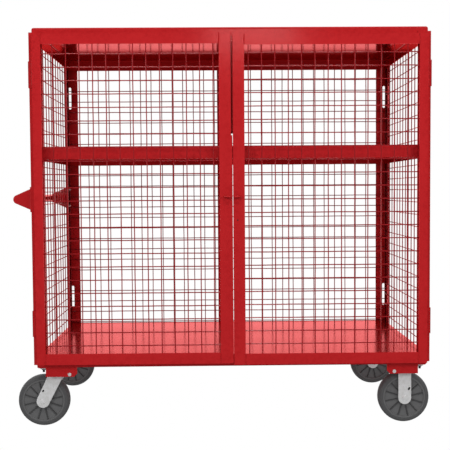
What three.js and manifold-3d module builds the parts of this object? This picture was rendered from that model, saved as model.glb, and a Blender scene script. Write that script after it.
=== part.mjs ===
// A wire-mesh security cart: a steel cage with two hinged front doors, a deck, a middle shelf and
// a roof, carried on four casters, with a push handle on its left end.
// Millimetres, +Z up, the doors face -Y. The origin is on the floor, under the middle of the outline.
import * as THREE from "three";
import { mergeVertices } from "three/addons/utils/BufferGeometryUtils.js";
import Module from "manifold-3d";

const wasm = await Module();
wasm.setup();

// Fits and clearances
const SEAT = 0.3; // between pieces that are welded, bolted or laid face to face
const RUNNING = 0.5; // between the faces of pieces that turn on each other
const BORE = 0.1; // round a pin or an axle in a bore it turns in
const OVERRUN = 5; // how far a cutter runs past what it cuts

// The three formed pans
const PAN_LENGTH = 1524;
const PAN_DEPTH = 762;
const SHEET = 2.6;
const DECK_RISE = 50.2; // from the casters' plates to the deck's top
const DECK_LIP = 46.5;
const DECK_BEND = 3;
const SHELF_RISE = 813; // from the deck's top to the shelf's top
const SHELF_LIP = 50;
const SHELF_BEND = 3;
const ROOF_RISE = 1268; // from the deck's top to the roof's top
const ROOF_LIP = 50.8;
const ROOF_BEND = 9;

// Corner posts and uprights
const POST_WALL = 3.2;
const POST_FACE_LEG = 50.8;
const POST_SIDE_LEG = 63.5;
const POST_DROP = 35.5; // from the deck's top to the posts' lower ends
const POST_SHORTFALL = 19.5; // from the posts' upper ends to the roof's top
const UPRIGHT_WIDTH = 62;
const UPRIGHT_OFFSET = -19;

// Welded wire mesh
const WIRE = 3.4;
const PITCH = 50.8;
const WIRE_LAYER_GAP = 0.3;
const WIRE_INSET = 0.2;
const MESH_OVERLAP = 28;
const SIDE_ROW = 28; // from the deck's top to one level wire of each side and rear sheet
const REAR_ROW = 2.8;
const LEFT_DOOR_ROW = 74.7; // from the doors' lower edge to one level wire of each door's sheet
const RIGHT_DOOR_ROW = 77.1;
const SIDE_WIRE = 25.4; // the place of one upright wire of each sheet
const REAR_LEFT_WIRE = -63.3;
const REAR_RIGHT_WIRE = 61.7;
const LEFT_DOOR_WIRE = -67.9;
const RIGHT_DOOR_WIRE = 66.4;

// Doors
const DOOR_WALL = 3.2;
const DOOR_DEPTH = 38.1;
const DOOR_STANDOFF = 1;
const DOOR_INSET = 19.3; // from the posts' outer side to the door's outer edge
const DOOR_GAP = 14.4;
const DOOR_GAP_OFFSET = 2.6;
const DOOR_DROP = 30.5; // from the deck's top to the doors' lower edge
const DOOR_SHORTFALL = 32.5; // from the doors' upper edge to the roof's top
const LEFT_DOOR_RISE = 2.5;
const RIGHT_DOOR_RISE = -2.5;
const OUTER_STILE = 34;
const MEETING_STILE = 41;
const TOP_RAIL = 41;
const BOTTOM_RAIL = 43;
const STOP_WIDTH = 25.4;
const STOP_REACH = 9.8; // how far the stop runs past the right door's edge, into the gap
const STOP_LENGTH = 355;
const STOP_INSET = 22; // from the stop's upper end to the doors' upper edge

// Butt hinges
const HINGE_HEIGHT = 101.6;
const HINGE_LOWER = 157; // from the doors' lower edge to the lower hinges' middle
const HINGE_UPPER = 148; // from the upper hinges' middle to the doors' upper edge
const HINGE_OFFSET = 5.5;
const HINGE_STANDOFF = 3.5;
const KNUCKLE_RADIUS = 5.2;
const HINGE_PIN_RADIUS = 2.4;
const HINGE_PIN_HEAD_RADIUS = 3.2;
const HINGE_PIN_HEAD = 2;
const LEAF = 2.5;
const DOOR_LEAF_LENGTH = 28;
const FRAME_LEAF_LENGTH = 32;
const SLOT_WIDTH = 12;
const SLOT_END = 2; // from the knuckles' end to the slot's end

// Padlock tabs
const TAB_HEIGHT = 907;
const TAB_WIDTH = 26;
const TAB_REACH = 28;
const TAB_THICKNESS = 4;
const TAB_CORNER = 16;
const TAB_HOLE_RADIUS = 5;

// Push handle
const HANDLE_HEIGHT = 901;
const HANDLE_REACH = 66.5;
const HANDLE_TUBE_RADIUS = 16.7;
const HANDLE_TUBE_WALL = 3.4;
const BRACKET_TIP_RADIUS = 17.8;
const BRACKET_HEIGHT = 97;
const BRACKET_FLANGE = 61;
const BRACKET_WALL = 4.8;
const HANDLE_BOLT_SPACING = 78;
const HANDLE_BOLT_RADIUS = 4;
const HANDLE_BOLT_HEAD_RADIUS = 7;
const HANDLE_BOLT_HEAD = 5;
const HANDLE_NUT_RADIUS = 6;
const HANDLE_NUT = 5.5;
const HANDLE_BOLT_TAIL = 2; // short enough to clear the pans
const NUT_ROOM = 2; // from a handle bolt's nut to the wires round it

// Caster mounts
const MOUNT_INSET = 68; // from the pan's front or rear lip to the caster's middle
const MOUNT_OUTSET = 76; // from the pan's end to the caster's middle
const MOUNT_LENGTH = 151;
const MOUNT_WIDTH = 124;
const MOUNT_WALL = 4.8;
const SKIRT_LENGTH = 122;
const SKIRT_DROP = 34.3; // from the casters' plates to the skirt's lower edge
const SKIRT_BEVEL = 12;
const SKIRT_HOLE_RADIUS = 5;
const SKIRT_HOLE_INSET = 29;
const SKIRT_HOLE_RISE = 9;

// Casters
const CASTER_PLATE = 6.3;
const CASTER_PLATE_LENGTH = 140;
const CASTER_PLATE_WIDTH = 110;
const WHEEL_RADIUS = 101.6;
const WHEEL_WIDTH = 50.8;
const WHEEL_EDGE = 6;
const WHEEL_RIM = 16;
const WHEEL_RIM_DRAFT = 3;
const WHEEL_WEB = 26;
const HUB_RADIUS = 26;
const HUB_LENGTH = 55;
const BUSHING_RADIUS = 13;
const AXLE_RADIUS = 6.3;
const AXLE_HEAD_RADIUS = 11;
const AXLE_HEAD = 7;
const FORK_WALL = 5;
const FORK_CLEARANCE = 2.5; // between the hub's end and the fork leg
const FORK_TIP_RADIUS = 25.4;
const FORK_CROWN_LENGTH = 62;
const FORK_CROWN = 6;
const FORK_HEADROOM = 19.3; // from the wheel's top to the crown
const SWIVEL_TRAIL = 64;
const RACE_RADIUS = 36;
const RACE_HEIGHT = 6;
const KINGPIN_RADIUS = 8;
const KINGPIN_HEAD_RADIUS = 13;
const KINGPIN_HEAD = 5;

// How finely round shapes are cut
const WHEEL_SIDES = 28;
const AXLE_SIDES = 24;
const PIN_SIDES = 12;
const BEND_STEPS = 3;
const ARC_STEPS = 5;

// Heights that many pieces share, from the floor up
const crownBottom = 2 * WHEEL_RADIUS + FORK_HEADROOM;
const crownTop = crownBottom + FORK_CROWN;
const plateBottom = crownTop + RUNNING + RACE_HEIGHT;
const casterTop = plateBottom + CASTER_PLATE;
const skirtBottom = casterTop - SKIRT_DROP;
const deckTop = casterTop + DECK_RISE;
const shelfTop = deckTop + SHELF_RISE;
const roofTop = deckTop + ROOF_RISE;
const roofUnder = roofTop - ROOF_LIP;
const postBottom = deckTop - POST_DROP;
const postTop = roofTop - POST_SHORTFALL;
const doorBottom = deckTop - DOOR_DROP;
const doorTop = roofTop - DOOR_SHORTFALL;
const hingeHeights = { lower: doorBottom + HINGE_LOWER, upper: doorTop - HINGE_UPPER };

// Half sizes and planes that many pieces share
const halfLength = PAN_LENGTH / 2;
const halfDepth = PAN_DEPTH / 2;
const meshDepth = 2 * WIRE + WIRE_LAYER_GAP + 2 * WIRE_INSET;
const meshInner = SEAT;
const meshOuter = SEAT + meshDepth;
const postInner = meshOuter + SEAT;
const postOuter = postInner + POST_WALL;
const postSide = halfLength + postOuter;
const rearFace = halfDepth + postOuter;
const frontFace = -halfDepth - SEAT - POST_WALL;
const doorBack = frontFace - DOOR_STANDOFF;
const doorFront = doorBack - DOOR_DEPTH;
const doorOuter = postSide - DOOR_INSET;
const hingeX = doorOuter + HINGE_OFFSET;
const hingeY = frontFace - HINGE_STANDOFF;
const casterX = halfLength - MOUNT_OUTSET;
const casterY = halfDepth - MOUNT_INSET;

// The outline's ends, for the origin under its middle
const handleTipX = -postSide - SEAT - HANDLE_REACH - BRACKET_TIP_RADIUS;
const rightWheelX = casterX + WHEEL_RADIUS;
const tabFrontY = doorFront - TAB_REACH;

// Materials
const finish = (color, roughness, metalness) =>
  new THREE.MeshStandardMaterial({ color, roughness, metalness });
const redPaint = () => finish(0xb12126, 0.28, 0.0);
const zinc = () => finish(0xc4c4c2, 0.38, 0.85);
const darkSteel = () => finish(0x3a3a3c, 0.5, 0.7);
const greyRubber = () => finish(0x4f5052, 0.6, 0.0);
const bronze = () => finish(0x9a7440, 0.45, 0.8);

const cart = new THREE.Group();
cart.position.set(-(handleTipX + rightWheelX) / 2, -(tabFrontY + rearFace) / 2, 0);

function addPart(name, geometry, material, parent = cart) {
  const mesh = new THREE.Mesh(geometry, material);
  mesh.name = name;
  parent.add(mesh);
  return mesh;
}

// Solids
function solidOf(geometry) {
  const bare = geometry.index ? geometry.toNonIndexed() : geometry.clone();
  bare.deleteAttribute("normal");
  bare.deleteAttribute("uv");
  const merged = mergeVertices(bare);
  return new wasm.Manifold(
    new wasm.Mesh({
      numProp: 3,
      vertProperties: new Float32Array(merged.attributes.position.array),
      triVerts: new Uint32Array(merged.index.array),
    }),
  );
}

function geometryOf(solid) {
  const mesh = solid.getMesh();
  const geometry = new THREE.BufferGeometry();
  geometry.setAttribute("position", new THREE.BufferAttribute(mesh.vertProperties, mesh.numProp));
  geometry.setIndex(new THREE.BufferAttribute(mesh.triVerts, 1));
  geometry.computeVertexNormals();
  return geometry;
}

const join = (solids) => solids.reduce((whole, piece) => whole.add(piece));
const cut = (solid, cutters) => solid.subtract(join(cutters));

// A block between two corners, whichever way round they are given.
function block(x0, x1, y0, y1, z0, z1) {
  const geometry = new THREE.BoxGeometry(Math.abs(x1 - x0), Math.abs(y1 - y0), Math.abs(z1 - z0));
  geometry.translate((x0 + x1) / 2, (y0 + y1) / 2, (z0 + z1) / 2);
  return solidOf(geometry);
}

// A round bar along X, Y or Z between two stations, with its middle at the other two coordinates.
function bar(axis, radius, from, to, a, b, sides = PIN_SIDES) {
  const geometry = new THREE.CylinderGeometry(radius, radius, Math.abs(to - from), sides);
  const middle = (from + to) / 2;
  if (axis === "x") geometry.rotateZ(Math.PI / 2).translate(middle, a, b);
  if (axis === "y") geometry.translate(a, middle, b);
  if (axis === "z") geometry.rotateX(Math.PI / 2).translate(a, b, middle);
  return solidOf(geometry);
}

// An outline in X and Z, carried along Y from y0 to y1.
function plateXZ(shape, y0, y1) {
  const settings = { depth: Math.abs(y1 - y0), bevelEnabled: false, curveSegments: ARC_STEPS };
  const geometry = new THREE.ExtrudeGeometry(shape, settings);
  geometry.rotateX(Math.PI / 2).translate(0, Math.max(y0, y1), 0);
  return solidOf(geometry);
}

// An outline in X and Y, carried up from z0 to z1.
function plateXY(shape, z0, z1) {
  const settings = { depth: z1 - z0, bevelEnabled: false, curveSegments: ARC_STEPS };
  return solidOf(new THREE.ExtrudeGeometry(shape, settings).translate(0, 0, z0));
}

// Formed pans: a flat sheet with its four sides bent down

// A tunnel-shaped outline: a rectangle whose two upper corners are rounded.
function bentOutline(halfWidth, bottom, top, bend) {
  const shape = new THREE.Shape();
  shape.moveTo(-halfWidth, bottom);
  shape.lineTo(halfWidth, bottom);
  shape.lineTo(halfWidth, top - bend);
  shape.absarc(halfWidth - bend, top - bend, bend, 0, Math.PI / 2, false);
  shape.lineTo(-halfWidth + bend, top);
  shape.absarc(-halfWidth + bend, top - bend, bend, Math.PI / 2, Math.PI, false);
  shape.closePath();
  return shape;
}

// A block whose four upper edges are rounded: two tunnels, one along Y and one along X, crossed.
function bentBlock(halfX, halfY, bottom, top, bend) {
  const settings = { bevelEnabled: false, curveSegments: BEND_STEPS };
  const alongY = new THREE.ExtrudeGeometry(bentOutline(halfX, bottom, top, bend), {
    ...settings,
    depth: 2 * halfY,
  });
  alongY.rotateX(Math.PI / 2).translate(0, halfY, 0);
  const alongX = new THREE.ExtrudeGeometry(bentOutline(halfY, bottom, top, bend), {
    ...settings,
    depth: 2 * halfX,
  });
  alongX.rotateX(Math.PI / 2).rotateZ(Math.PI / 2).translate(-halfX, 0, 0);
  return solidOf(alongY).intersect(solidOf(alongX));
}

function formedPan(top, lip, bend) {
  const outer = bentBlock(halfLength, halfDepth, top - lip, top, bend);
  const inner = bentBlock(
    halfLength - SHEET,
    halfDepth - SHEET,
    top - lip - OVERRUN,
    top - SHEET,
    bend - SHEET,
  );
  return outer.subtract(inner);
}

addPart("deck_pan", geometryOf(formedPan(deckTop, DECK_LIP, DECK_BEND)), redPaint());
addPart("middle_shelf", geometryOf(formedPan(shelfTop, SHELF_LIP, SHELF_BEND)), redPaint());
addPart("roof_pan", geometryOf(formedPan(roofTop, ROOF_LIP, ROOF_BEND)), redPaint());

// Where the push handle's bolts go through the left posts: [Y, Z] pairs
const frontWebY = frontFace + POST_SIDE_LEG;
const rearWebY = rearFace - POST_SIDE_LEG;
const boltHeights = [-1, 1].map((up) => HANDLE_HEIGHT + (up * HANDLE_BOLT_SPACING) / 2);

function boltPlaces(sy) {
  const web = sy < 0 ? frontWebY : rearWebY;
  return boltHeights.map((z) => [web + (sy * BRACKET_FLANGE) / 2, z]);
}

function boltHoles(sy, from, to) {
  const radius = HANDLE_BOLT_RADIUS + SEAT;
  return boltPlaces(sy).map(([y, z]) => bar("x", radius, from, to, y, z));
}

// Corner posts: angle iron, slotted beside each hinge. sx is -1 on the left and 1 on the right,
// sy is -1 at the front and 1 at the rear.
function hingeSlot(sx, y0, y1, middle) {
  const halfWidth = SLOT_WIDTH / 2;
  const end = HINGE_HEIGHT / 2 + SLOT_END - halfWidth;
  const x = sx * hingeX;
  return join([
    block(x - halfWidth, x + halfWidth, y0, y1, middle - end, middle + end),
    bar("y", halfWidth, y0, y1, x, middle - end),
    bar("y", halfWidth, y0, y1, x, middle + end),
  ]);
}

function cornerPost(sx, sy) {
  const face = sy < 0 ? frontFace : rearFace;
  const outerX = sx * postSide;
  const innerX = outerX - sx * POST_WALL;
  const innerY = face - sy * POST_WALL;
  const legEndX = outerX - sx * POST_FACE_LEG;
  const legEndY = face - sy * POST_SIDE_LEG;
  const faceLeg = block(outerX, legEndX, face, innerY, postBottom, postTop);
  const sideLeg = block(outerX, innerX, face, legEndY, postBottom, postTop);
  const cutters = Object.values(hingeHeights).map((middle) =>
    hingeSlot(sx, face + sy * OVERRUN, innerY - sy * OVERRUN, middle),
  );
  if (sx < 0) cutters.push(...boltHoles(sy, outerX - OVERRUN, innerX + OVERRUN));
  return cut(faceLeg.add(sideLeg), cutters);
}

const sides = [["left", -1], ["right", 1]];
for (const [side, sx] of sides) {
  addPart(`front_${side}_post`, geometryOf(cornerPost(sx, -1)), redPaint());
  addPart(`rear_${side}_post`, geometryOf(cornerPost(sx, 1)), redPaint());
}

// A flat upright over the seam of the two rear mesh sheets
const upright = block(
  UPRIGHT_OFFSET - UPRIGHT_WIDTH / 2,
  UPRIGHT_OFFSET + UPRIGHT_WIDTH / 2,
  rearFace,
  rearFace - POST_WALL,
  postBottom,
  postTop,
);
addPart("rear_centre_upright", geometryOf(upright), redPaint());

// Welded wire mesh: square wires in two crossing layers, held by an edge wire of both layers' depth

// The stations of the wires that lie between two edges, one of them passing through a given place.
function stations(from, to, through) {
  const first = Math.ceil((from + WIRE - through) / PITCH);
  const last = Math.floor((to - WIRE - through) / PITCH);
  const found = [];
  for (let step = first; step <= last; step++) found.push(through + step * PITCH);
  return found;
}

// A wire that would meet one of the handle's nuts stands beside it.
function besideNuts(station, nuts) {
  const clear = HANDLE_NUT_RADIUS + NUT_ROOM + WIRE / 2;
  const near = nuts.find((nut) => Math.abs(station - nut) < clear);
  if (near === undefined) return station;
  return station < near ? near - clear : near + clear;
}

// put(u0, u1, w0, w1, z0, z1) makes a block: u runs along the sheet, w through it, from its inner
// face. nuts is a list of the [U, Z] places of nuts that lie in the sheet.
function wireSheet(u0, u1, z0, z1, uThrough, zThrough, put, nuts = []) {
  const inside = put(u0 + WIRE, u1 - WIRE, -OVERRUN, meshDepth + OVERRUN, z0 + WIRE, z1 - WIRE);
  const rim = put(u0, u1, 0, meshDepth, z0, z1).subtract(inside);
  const half = WIRE / 2;
  const near = WIRE_INSET;
  const far = meshDepth - WIRE_INSET;
  const upright = stations(u0 + WIRE, u1 - WIRE, uThrough)
    .map((u) => besideNuts(u, nuts.map((nut) => nut[0])))
    .map((u) => put(u - half, u + half, near, near + WIRE, z0 + half, z1 - half));
  const level = stations(z0 + WIRE, z1 - WIRE, zThrough)
    .map((z) => besideNuts(z, nuts.map((nut) => nut[1])))
    .map((z) => put(u0 + half, u1 - half, far - WIRE, far, z - half, z + half));
  return join([rim, ...upright, ...level]);
}

const sheetBottom = deckTop - MESH_OVERLAP;
const sheetTop = roofUnder + MESH_OVERLAP;

function sideSheet(sx) {
  const inner = sx * (halfLength + meshInner);
  const put = (u0, u1, w0, w1, z0, z1) => block(inner + sx * w0, inner + sx * w1, u0, u1, z0, z1);
  const row = deckTop + SIDE_ROW;
  const nuts = sx < 0 ? [...boltPlaces(-1), ...boltPlaces(1)] : [];
  return wireSheet(-halfDepth, halfDepth, sheetBottom, sheetTop, SIDE_WIRE, row, put, nuts);
}

for (const [side, sx] of sides) addPart(`${side}_side_mesh`, geometryOf(sideSheet(sx)), redPaint());

function rearSheet(from, to, through) {
  const inner = halfDepth + meshInner;
  const put = (u0, u1, w0, w1, z0, z1) => block(u0, u1, inner + w0, inner + w1, z0, z1);
  return wireSheet(from, to, sheetBottom, sheetTop, through, deckTop + REAR_ROW, put);
}

const rearEnd = halfLength + meshOuter;
const seamLeft = UPRIGHT_OFFSET - SEAT / 2;
const seamRight = UPRIGHT_OFFSET + SEAT / 2;
const rearSheets = {
  left: rearSheet(-rearEnd, seamLeft, REAR_LEFT_WIRE),
  right: rearSheet(seamRight, rearEnd, REAR_RIGHT_WIRE),
};
for (const [side, sheet] of Object.entries(rearSheets))
  addPart(`rear_${side}_mesh`, geometryOf(sheet), redPaint());

// Doors: a ring of angle iron with its legs turned back, and a mesh sheet behind its face
const doors = {
  left: { rise: LEFT_DOOR_RISE, wire: LEFT_DOOR_WIRE, row: LEFT_DOOR_ROW },
  right: { rise: RIGHT_DOOR_RISE, wire: RIGHT_DOOR_WIRE, row: RIGHT_DOOR_ROW },
};
const outerEdge = (sx) => sx * doorOuter;
const meetingEdge = (sx) => DOOR_GAP_OFFSET + (sx * DOOR_GAP) / 2;

function doorFrame(sx, rise) {
  const bottom = doorBottom + rise;
  const top = doorTop + rise;
  const outer = block(outerEdge(sx), meetingEdge(sx), doorFront, doorBack, bottom, top);
  const hollow = block(
    outerEdge(sx) - sx * DOOR_WALL,
    meetingEdge(sx) + sx * DOOR_WALL,
    doorFront + DOOR_WALL,
    doorBack + OVERRUN,
    bottom + DOOR_WALL,
    top - DOOR_WALL,
  );
  const opening = block(
    outerEdge(sx) - sx * OUTER_STILE,
    meetingEdge(sx) + sx * MEETING_STILE,
    doorFront - OVERRUN,
    doorFront + DOOR_WALL + OVERRUN,
    bottom + BOTTOM_RAIL,
    top - TOP_RAIL,
  );
  return cut(outer, [hollow, opening]);
}

function doorMesh(sx, { rise, wire, row }) {
  const inner = doorFront + DOOR_WALL + SEAT;
  const put = (u0, u1, w0, w1, z0, z1) => block(u0, u1, inner + w0, inner + w1, z0, z1);
  const clear = DOOR_WALL + SEAT;
  const ends = [outerEdge(sx) - sx * clear, meetingEdge(sx) + sx * clear];
  const bottom = doorBottom + rise + clear;
  const top = doorTop + rise - clear;
  const through = doorBottom + row;
  return wireSheet(Math.min(...ends), Math.max(...ends), bottom, top, wire, through, put);
}

// A padlock tab: a level plate with one rounded corner, on the face of each meeting stile
function padlockTab(sx) {
  const near = meetingEdge(sx);
  const far = near + sx * TAB_WIDTH;
  const front = doorFront - TAB_REACH;
  const back = doorFront - SEAT;
  const roundX = far - sx * TAB_CORNER;
  const shape = new THREE.Shape();
  shape.moveTo(near, back);
  shape.lineTo(near, front);
  shape.lineTo(roundX, front);
  shape.absarc(roundX, front + TAB_CORNER, TAB_CORNER, -Math.PI / 2, sx > 0 ? 0 : -Math.PI, sx < 0);
  shape.lineTo(far, back);
  shape.closePath();
  const bottom = TAB_HEIGHT - TAB_THICKNESS / 2;
  const top = TAB_HEIGHT + TAB_THICKNESS / 2;
  const holeX = (near + far) / 2;
  const holeY = (front + back) / 2;
  const hole = bar("z", TAB_HOLE_RADIUS, bottom - OVERRUN, top + OVERRUN, holeX, holeY);
  return plateXY(shape, bottom, top).subtract(hole);
}

for (const [side, sx] of sides) {
  addPart(`${side}_door_frame`, geometryOf(doorFrame(sx, doors[side].rise)), redPaint());
  addPart(`${side}_door_mesh`, geometryOf(doorMesh(sx, doors[side])), redPaint());
  addPart(`${side}_padlock_tab`, geometryOf(padlockTab(sx)), redPaint());
}

// The stop behind the gap: a flat strip on the back of the right door's meeting stile
const stopLeft = meetingEdge(1) - STOP_REACH;
const stopFront = doorBack + SEAT;
const stopBack = stopFront + DOOR_WALL;
const stopTop = doorTop - STOP_INSET;
const stopBottom = stopTop - STOP_LENGTH;
const doorStop = block(stopLeft, stopLeft + STOP_WIDTH, stopFront, stopBack, stopBottom, stopTop);
addPart("door_stop", geometryOf(doorStop), redPaint());

// Hinges: the frame leaf wraps the post's corner, the door leaf lies along the door's outer leg

const knuckleClear = KNUCKLE_RADIUS + RUNNING;
const knuckleBore = HINGE_PIN_RADIUS + BORE;

function knuckle(sx, z0, z1) {
  const barrel = bar("z", KNUCKLE_RADIUS, z0, z1, sx * hingeX, hingeY);
  const bore = bar("z", knuckleBore, z0 - OVERRUN, z1 + OVERRUN, sx * hingeX, hingeY);
  return { barrel, bore };
}

function hingeThirds(middle) {
  const bottom = middle - HINGE_HEIGHT / 2;
  const third = HINGE_HEIGHT / 3;
  return [bottom, bottom + third, bottom + 2 * third, bottom + HINGE_HEIGHT];
}

function frameLeaf(sx, middle) {
  const [z0, z1, z2, z3] = hingeThirds(middle);
  const outerX = sx * (postSide + SEAT + LEAF);
  const faceY = frontFace - SEAT - LEAF;
  const face = block(outerX, sx * (hingeX + knuckleClear), faceY, faceY + LEAF, z0, z3);
  const side = block(outerX, outerX - sx * LEAF, faceY, faceY + FRAME_LEAF_LENGTH, z0, z3);
  const pieces = [face, side];
  const bores = [];
  for (const [from, to] of [[z0, z1 - RUNNING / 2], [z2 + RUNNING / 2, z3]]) {
    const { barrel, bore } = knuckle(sx, from, to);
    pieces.push(barrel, block(outerX, sx * hingeX, faceY, faceY + LEAF, from, to));
    bores.push(bore);
  }
  return cut(join(pieces), bores);
}

function doorLeaf(sx, middle) {
  const [z0, z1, z2, z3] = hingeThirds(middle);
  const innerX = sx * (doorOuter + SEAT);
  const frontY = hingeY - DOOR_LEAF_LENGTH;
  const plate = block(innerX, innerX + sx * LEAF, frontY, hingeY - knuckleClear, z0, z3);
  const from = z1 + RUNNING / 2;
  const to = z2 - RUNNING / 2;
  const { barrel, bore } = knuckle(sx, from, to);
  const tongue = block(innerX, innerX + sx * LEAF, frontY, hingeY, from, to);
  return cut(join([plate, barrel, tongue]), [bore]);
}

function hingePin(sx, middle) {
  const [z0, , , z3] = hingeThirds(middle);
  const shank = bar("z", HINGE_PIN_RADIUS, z0, z3 + HINGE_PIN_HEAD, sx * hingeX, hingeY);
  const headBottom = z3 + SEAT;
  const headTop = headBottom + HINGE_PIN_HEAD;
  const head = bar("z", HINGE_PIN_HEAD_RADIUS, headBottom, headTop, sx * hingeX, hingeY);
  return shank.add(head);
}

for (const [side, sx] of sides)
  for (const [place, middle] of Object.entries(hingeHeights)) {
    const name = `${side}_${place}_hinge`;
    addPart(`${name}_frame_leaf`, geometryOf(frameLeaf(sx, middle)), redPaint());
    addPart(`${name}_door_leaf`, geometryOf(doorLeaf(sx, middle)), redPaint());
    addPart(`${name}_pin`, geometryOf(hingePin(sx, middle)), darkSteel());
  }

// Push handle: two angle brackets bolted to the left posts, and a tube between their webs
const bracketInnerX = -postSide - SEAT;
const bracketOuterX = bracketInnerX - BRACKET_WALL;
const handleX = bracketInnerX - HANDLE_REACH;

// The web's outline: a triangle from the flange to a round tip.
function webOutline() {
  const halfBase = BRACKET_HEIGHT / 2;
  const toCorner = Math.atan2(halfBase, HANDLE_REACH);
  const toTangent = Math.acos(BRACKET_TIP_RADIUS / Math.hypot(halfBase, HANDLE_REACH));
  const tangent = Math.PI - toCorner - toTangent;
  const shape = new THREE.Shape();
  shape.moveTo(bracketInnerX, HANDLE_HEIGHT - halfBase);
  shape.lineTo(bracketInnerX, HANDLE_HEIGHT + halfBase);
  shape.absarc(handleX, HANDLE_HEIGHT, BRACKET_TIP_RADIUS, Math.PI - tangent, Math.PI + tangent, false);
  shape.closePath();
  return shape;
}

function handleBracket(sy) {
  const web = sy < 0 ? frontWebY : rearWebY;
  const flange = block(
    bracketInnerX,
    bracketOuterX,
    web,
    web + sy * BRACKET_FLANGE,
    HANDLE_HEIGHT - BRACKET_HEIGHT / 2,
    HANDLE_HEIGHT + BRACKET_HEIGHT / 2,
  );
  const plate = plateXZ(webOutline(), web, web + sy * BRACKET_WALL);
  return cut(flange.add(plate), boltHoles(sy, bracketInnerX + OVERRUN, bracketOuterX - OVERRUN));
}

// A bolt with its head outside the bracket and its nut inside the post
function handleBolt(y, z) {
  const headX = bracketOuterX - SEAT;
  const nutX = -postSide + POST_WALL + SEAT;
  const tip = nutX + HANDLE_NUT + HANDLE_BOLT_TAIL;
  return join([
    bar("x", HANDLE_BOLT_HEAD_RADIUS, headX - HANDLE_BOLT_HEAD, headX, y, z),
    bar("x", HANDLE_BOLT_RADIUS, headX - HANDLE_BOLT_HEAD / 2, tip, y, z),
    bar("x", HANDLE_NUT_RADIUS, nutX, nutX + HANDLE_NUT, y, z, 6),
  ]);
}

for (const [place, sy] of [["front", -1], ["rear", 1]]) {
  addPart(`${place}_handle_bracket`, geometryOf(handleBracket(sy)), redPaint());
  for (const [index, [y, z]] of boltPlaces(sy).entries()) {
    const height = index ? "upper" : "lower";
    addPart(`${place}_${height}_handle_bolt`, geometryOf(handleBolt(y, z)), zinc());
  }
}

const tubeFrom = frontWebY + SEAT;
const tubeTo = rearWebY - SEAT;
const tubeBore = HANDLE_TUBE_RADIUS - HANDLE_TUBE_WALL;
const tube = cut(
  bar("y", HANDLE_TUBE_RADIUS, tubeFrom, tubeTo, handleX, HANDLE_HEIGHT, AXLE_SIDES),
  [bar("y", tubeBore, tubeFrom - OVERRUN, tubeTo + OVERRUN, handleX, HANDLE_HEIGHT, AXLE_SIDES)],
);
addPart("push_handle_tube", geometryOf(tube), redPaint());

// Caster mounts: a channel welded under the deck, with a skirt that hangs behind the pan's lip
const mountFloor = casterTop + SEAT;
const mountTop = deckTop - SHEET - SEAT;
const mountEndX = halfLength - SHEET - SEAT;
const mountOuterY = halfDepth - SHEET - SEAT;

function casterMount(sx, sy) {
  const outerX = sx * mountEndX;
  const innerX = outerX - sx * MOUNT_LENGTH;
  const outerY = sy * mountOuterY;
  const skirtBack = outerY - sy * MOUNT_WALL;
  const innerY = outerY - sy * MOUNT_WIDTH;
  const floorTop = mountFloor + MOUNT_WALL;
  const floor = block(outerX, innerX, outerY, innerY, mountFloor, floorTop);
  const outerWall = block(outerX, innerX, outerY, skirtBack, mountFloor, mountTop);
  const innerWall = block(outerX, innerX, innerY + sy * MOUNT_WALL, innerY, mountFloor, mountTop);
  const skirtEnd = innerX + sx * SKIRT_LENGTH;
  const shape = new THREE.Shape();
  shape.moveTo(innerX, floorTop);
  shape.lineTo(innerX, skirtBottom + SKIRT_BEVEL);
  shape.lineTo(innerX + sx * SKIRT_BEVEL, skirtBottom);
  shape.lineTo(skirtEnd, skirtBottom);
  shape.lineTo(skirtEnd, floorTop);
  shape.closePath();
  const skirt = plateXZ(shape, outerY, skirtBack);
  const hole = bar(
    "y",
    SKIRT_HOLE_RADIUS,
    outerY + sy * OVERRUN,
    skirtBack - sy * OVERRUN,
    innerX + sx * SKIRT_HOLE_INSET,
    skirtBottom + SKIRT_HOLE_RISE,
  );
  return cut(join([floor, outerWall, innerWall, skirt]), [hole]);
}

// Casters: the left two swivel and the right two are rigid
const legInner = HUB_LENGTH / 2 + FORK_CLEARANCE;
const legOuter = legInner + FORK_WALL;

// A fork leg's outline: from a level top edge to a round tip about the axle.
function legOutline(topX, axleX, top) {
  const halfTop = FORK_CROWN_LENGTH / 2;
  const rise = top - WHEEL_RADIUS;
  const angleTo = (x) => {
    const reach = Math.acos(FORK_TIP_RADIUS / Math.hypot(x - axleX, rise));
    return Math.atan2(rise, x - axleX) + Math.sign(topX - x) * reach;
  };
  const shape = new THREE.Shape();
  const from = angleTo(topX + halfTop);
  const to = angleTo(topX - halfTop) - 2 * Math.PI;
  shape.moveTo(topX - halfTop, top);
  shape.lineTo(topX + halfTop, top);
  shape.absarc(axleX, WHEEL_RADIUS, FORK_TIP_RADIUS, from, to, true);
  shape.closePath();
  return shape;
}

function forkLegs(topX, axleX, y, top) {
  const radius = AXLE_RADIUS + SEAT;
  const legs = [-1, 1].map((sy) =>
    plateXZ(legOutline(topX, axleX, top), y + sy * legInner, y + sy * legOuter),
  );
  const reach = legOuter + OVERRUN;
  const hole = bar("y", radius, y - reach, y + reach, axleX, WHEEL_RADIUS, AXLE_SIDES);
  return join(legs).subtract(hole);
}

function casterPlate(x, y) {
  const halfX = CASTER_PLATE_LENGTH / 2;
  const halfY = CASTER_PLATE_WIDTH / 2;
  return block(x - halfX, x + halfX, y - halfY, y + halfY, plateBottom, casterTop);
}

function rigidFork(x, y) {
  return casterPlate(x, y).add(forkLegs(x, x, y, plateBottom + CASTER_PLATE / 2));
}

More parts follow.
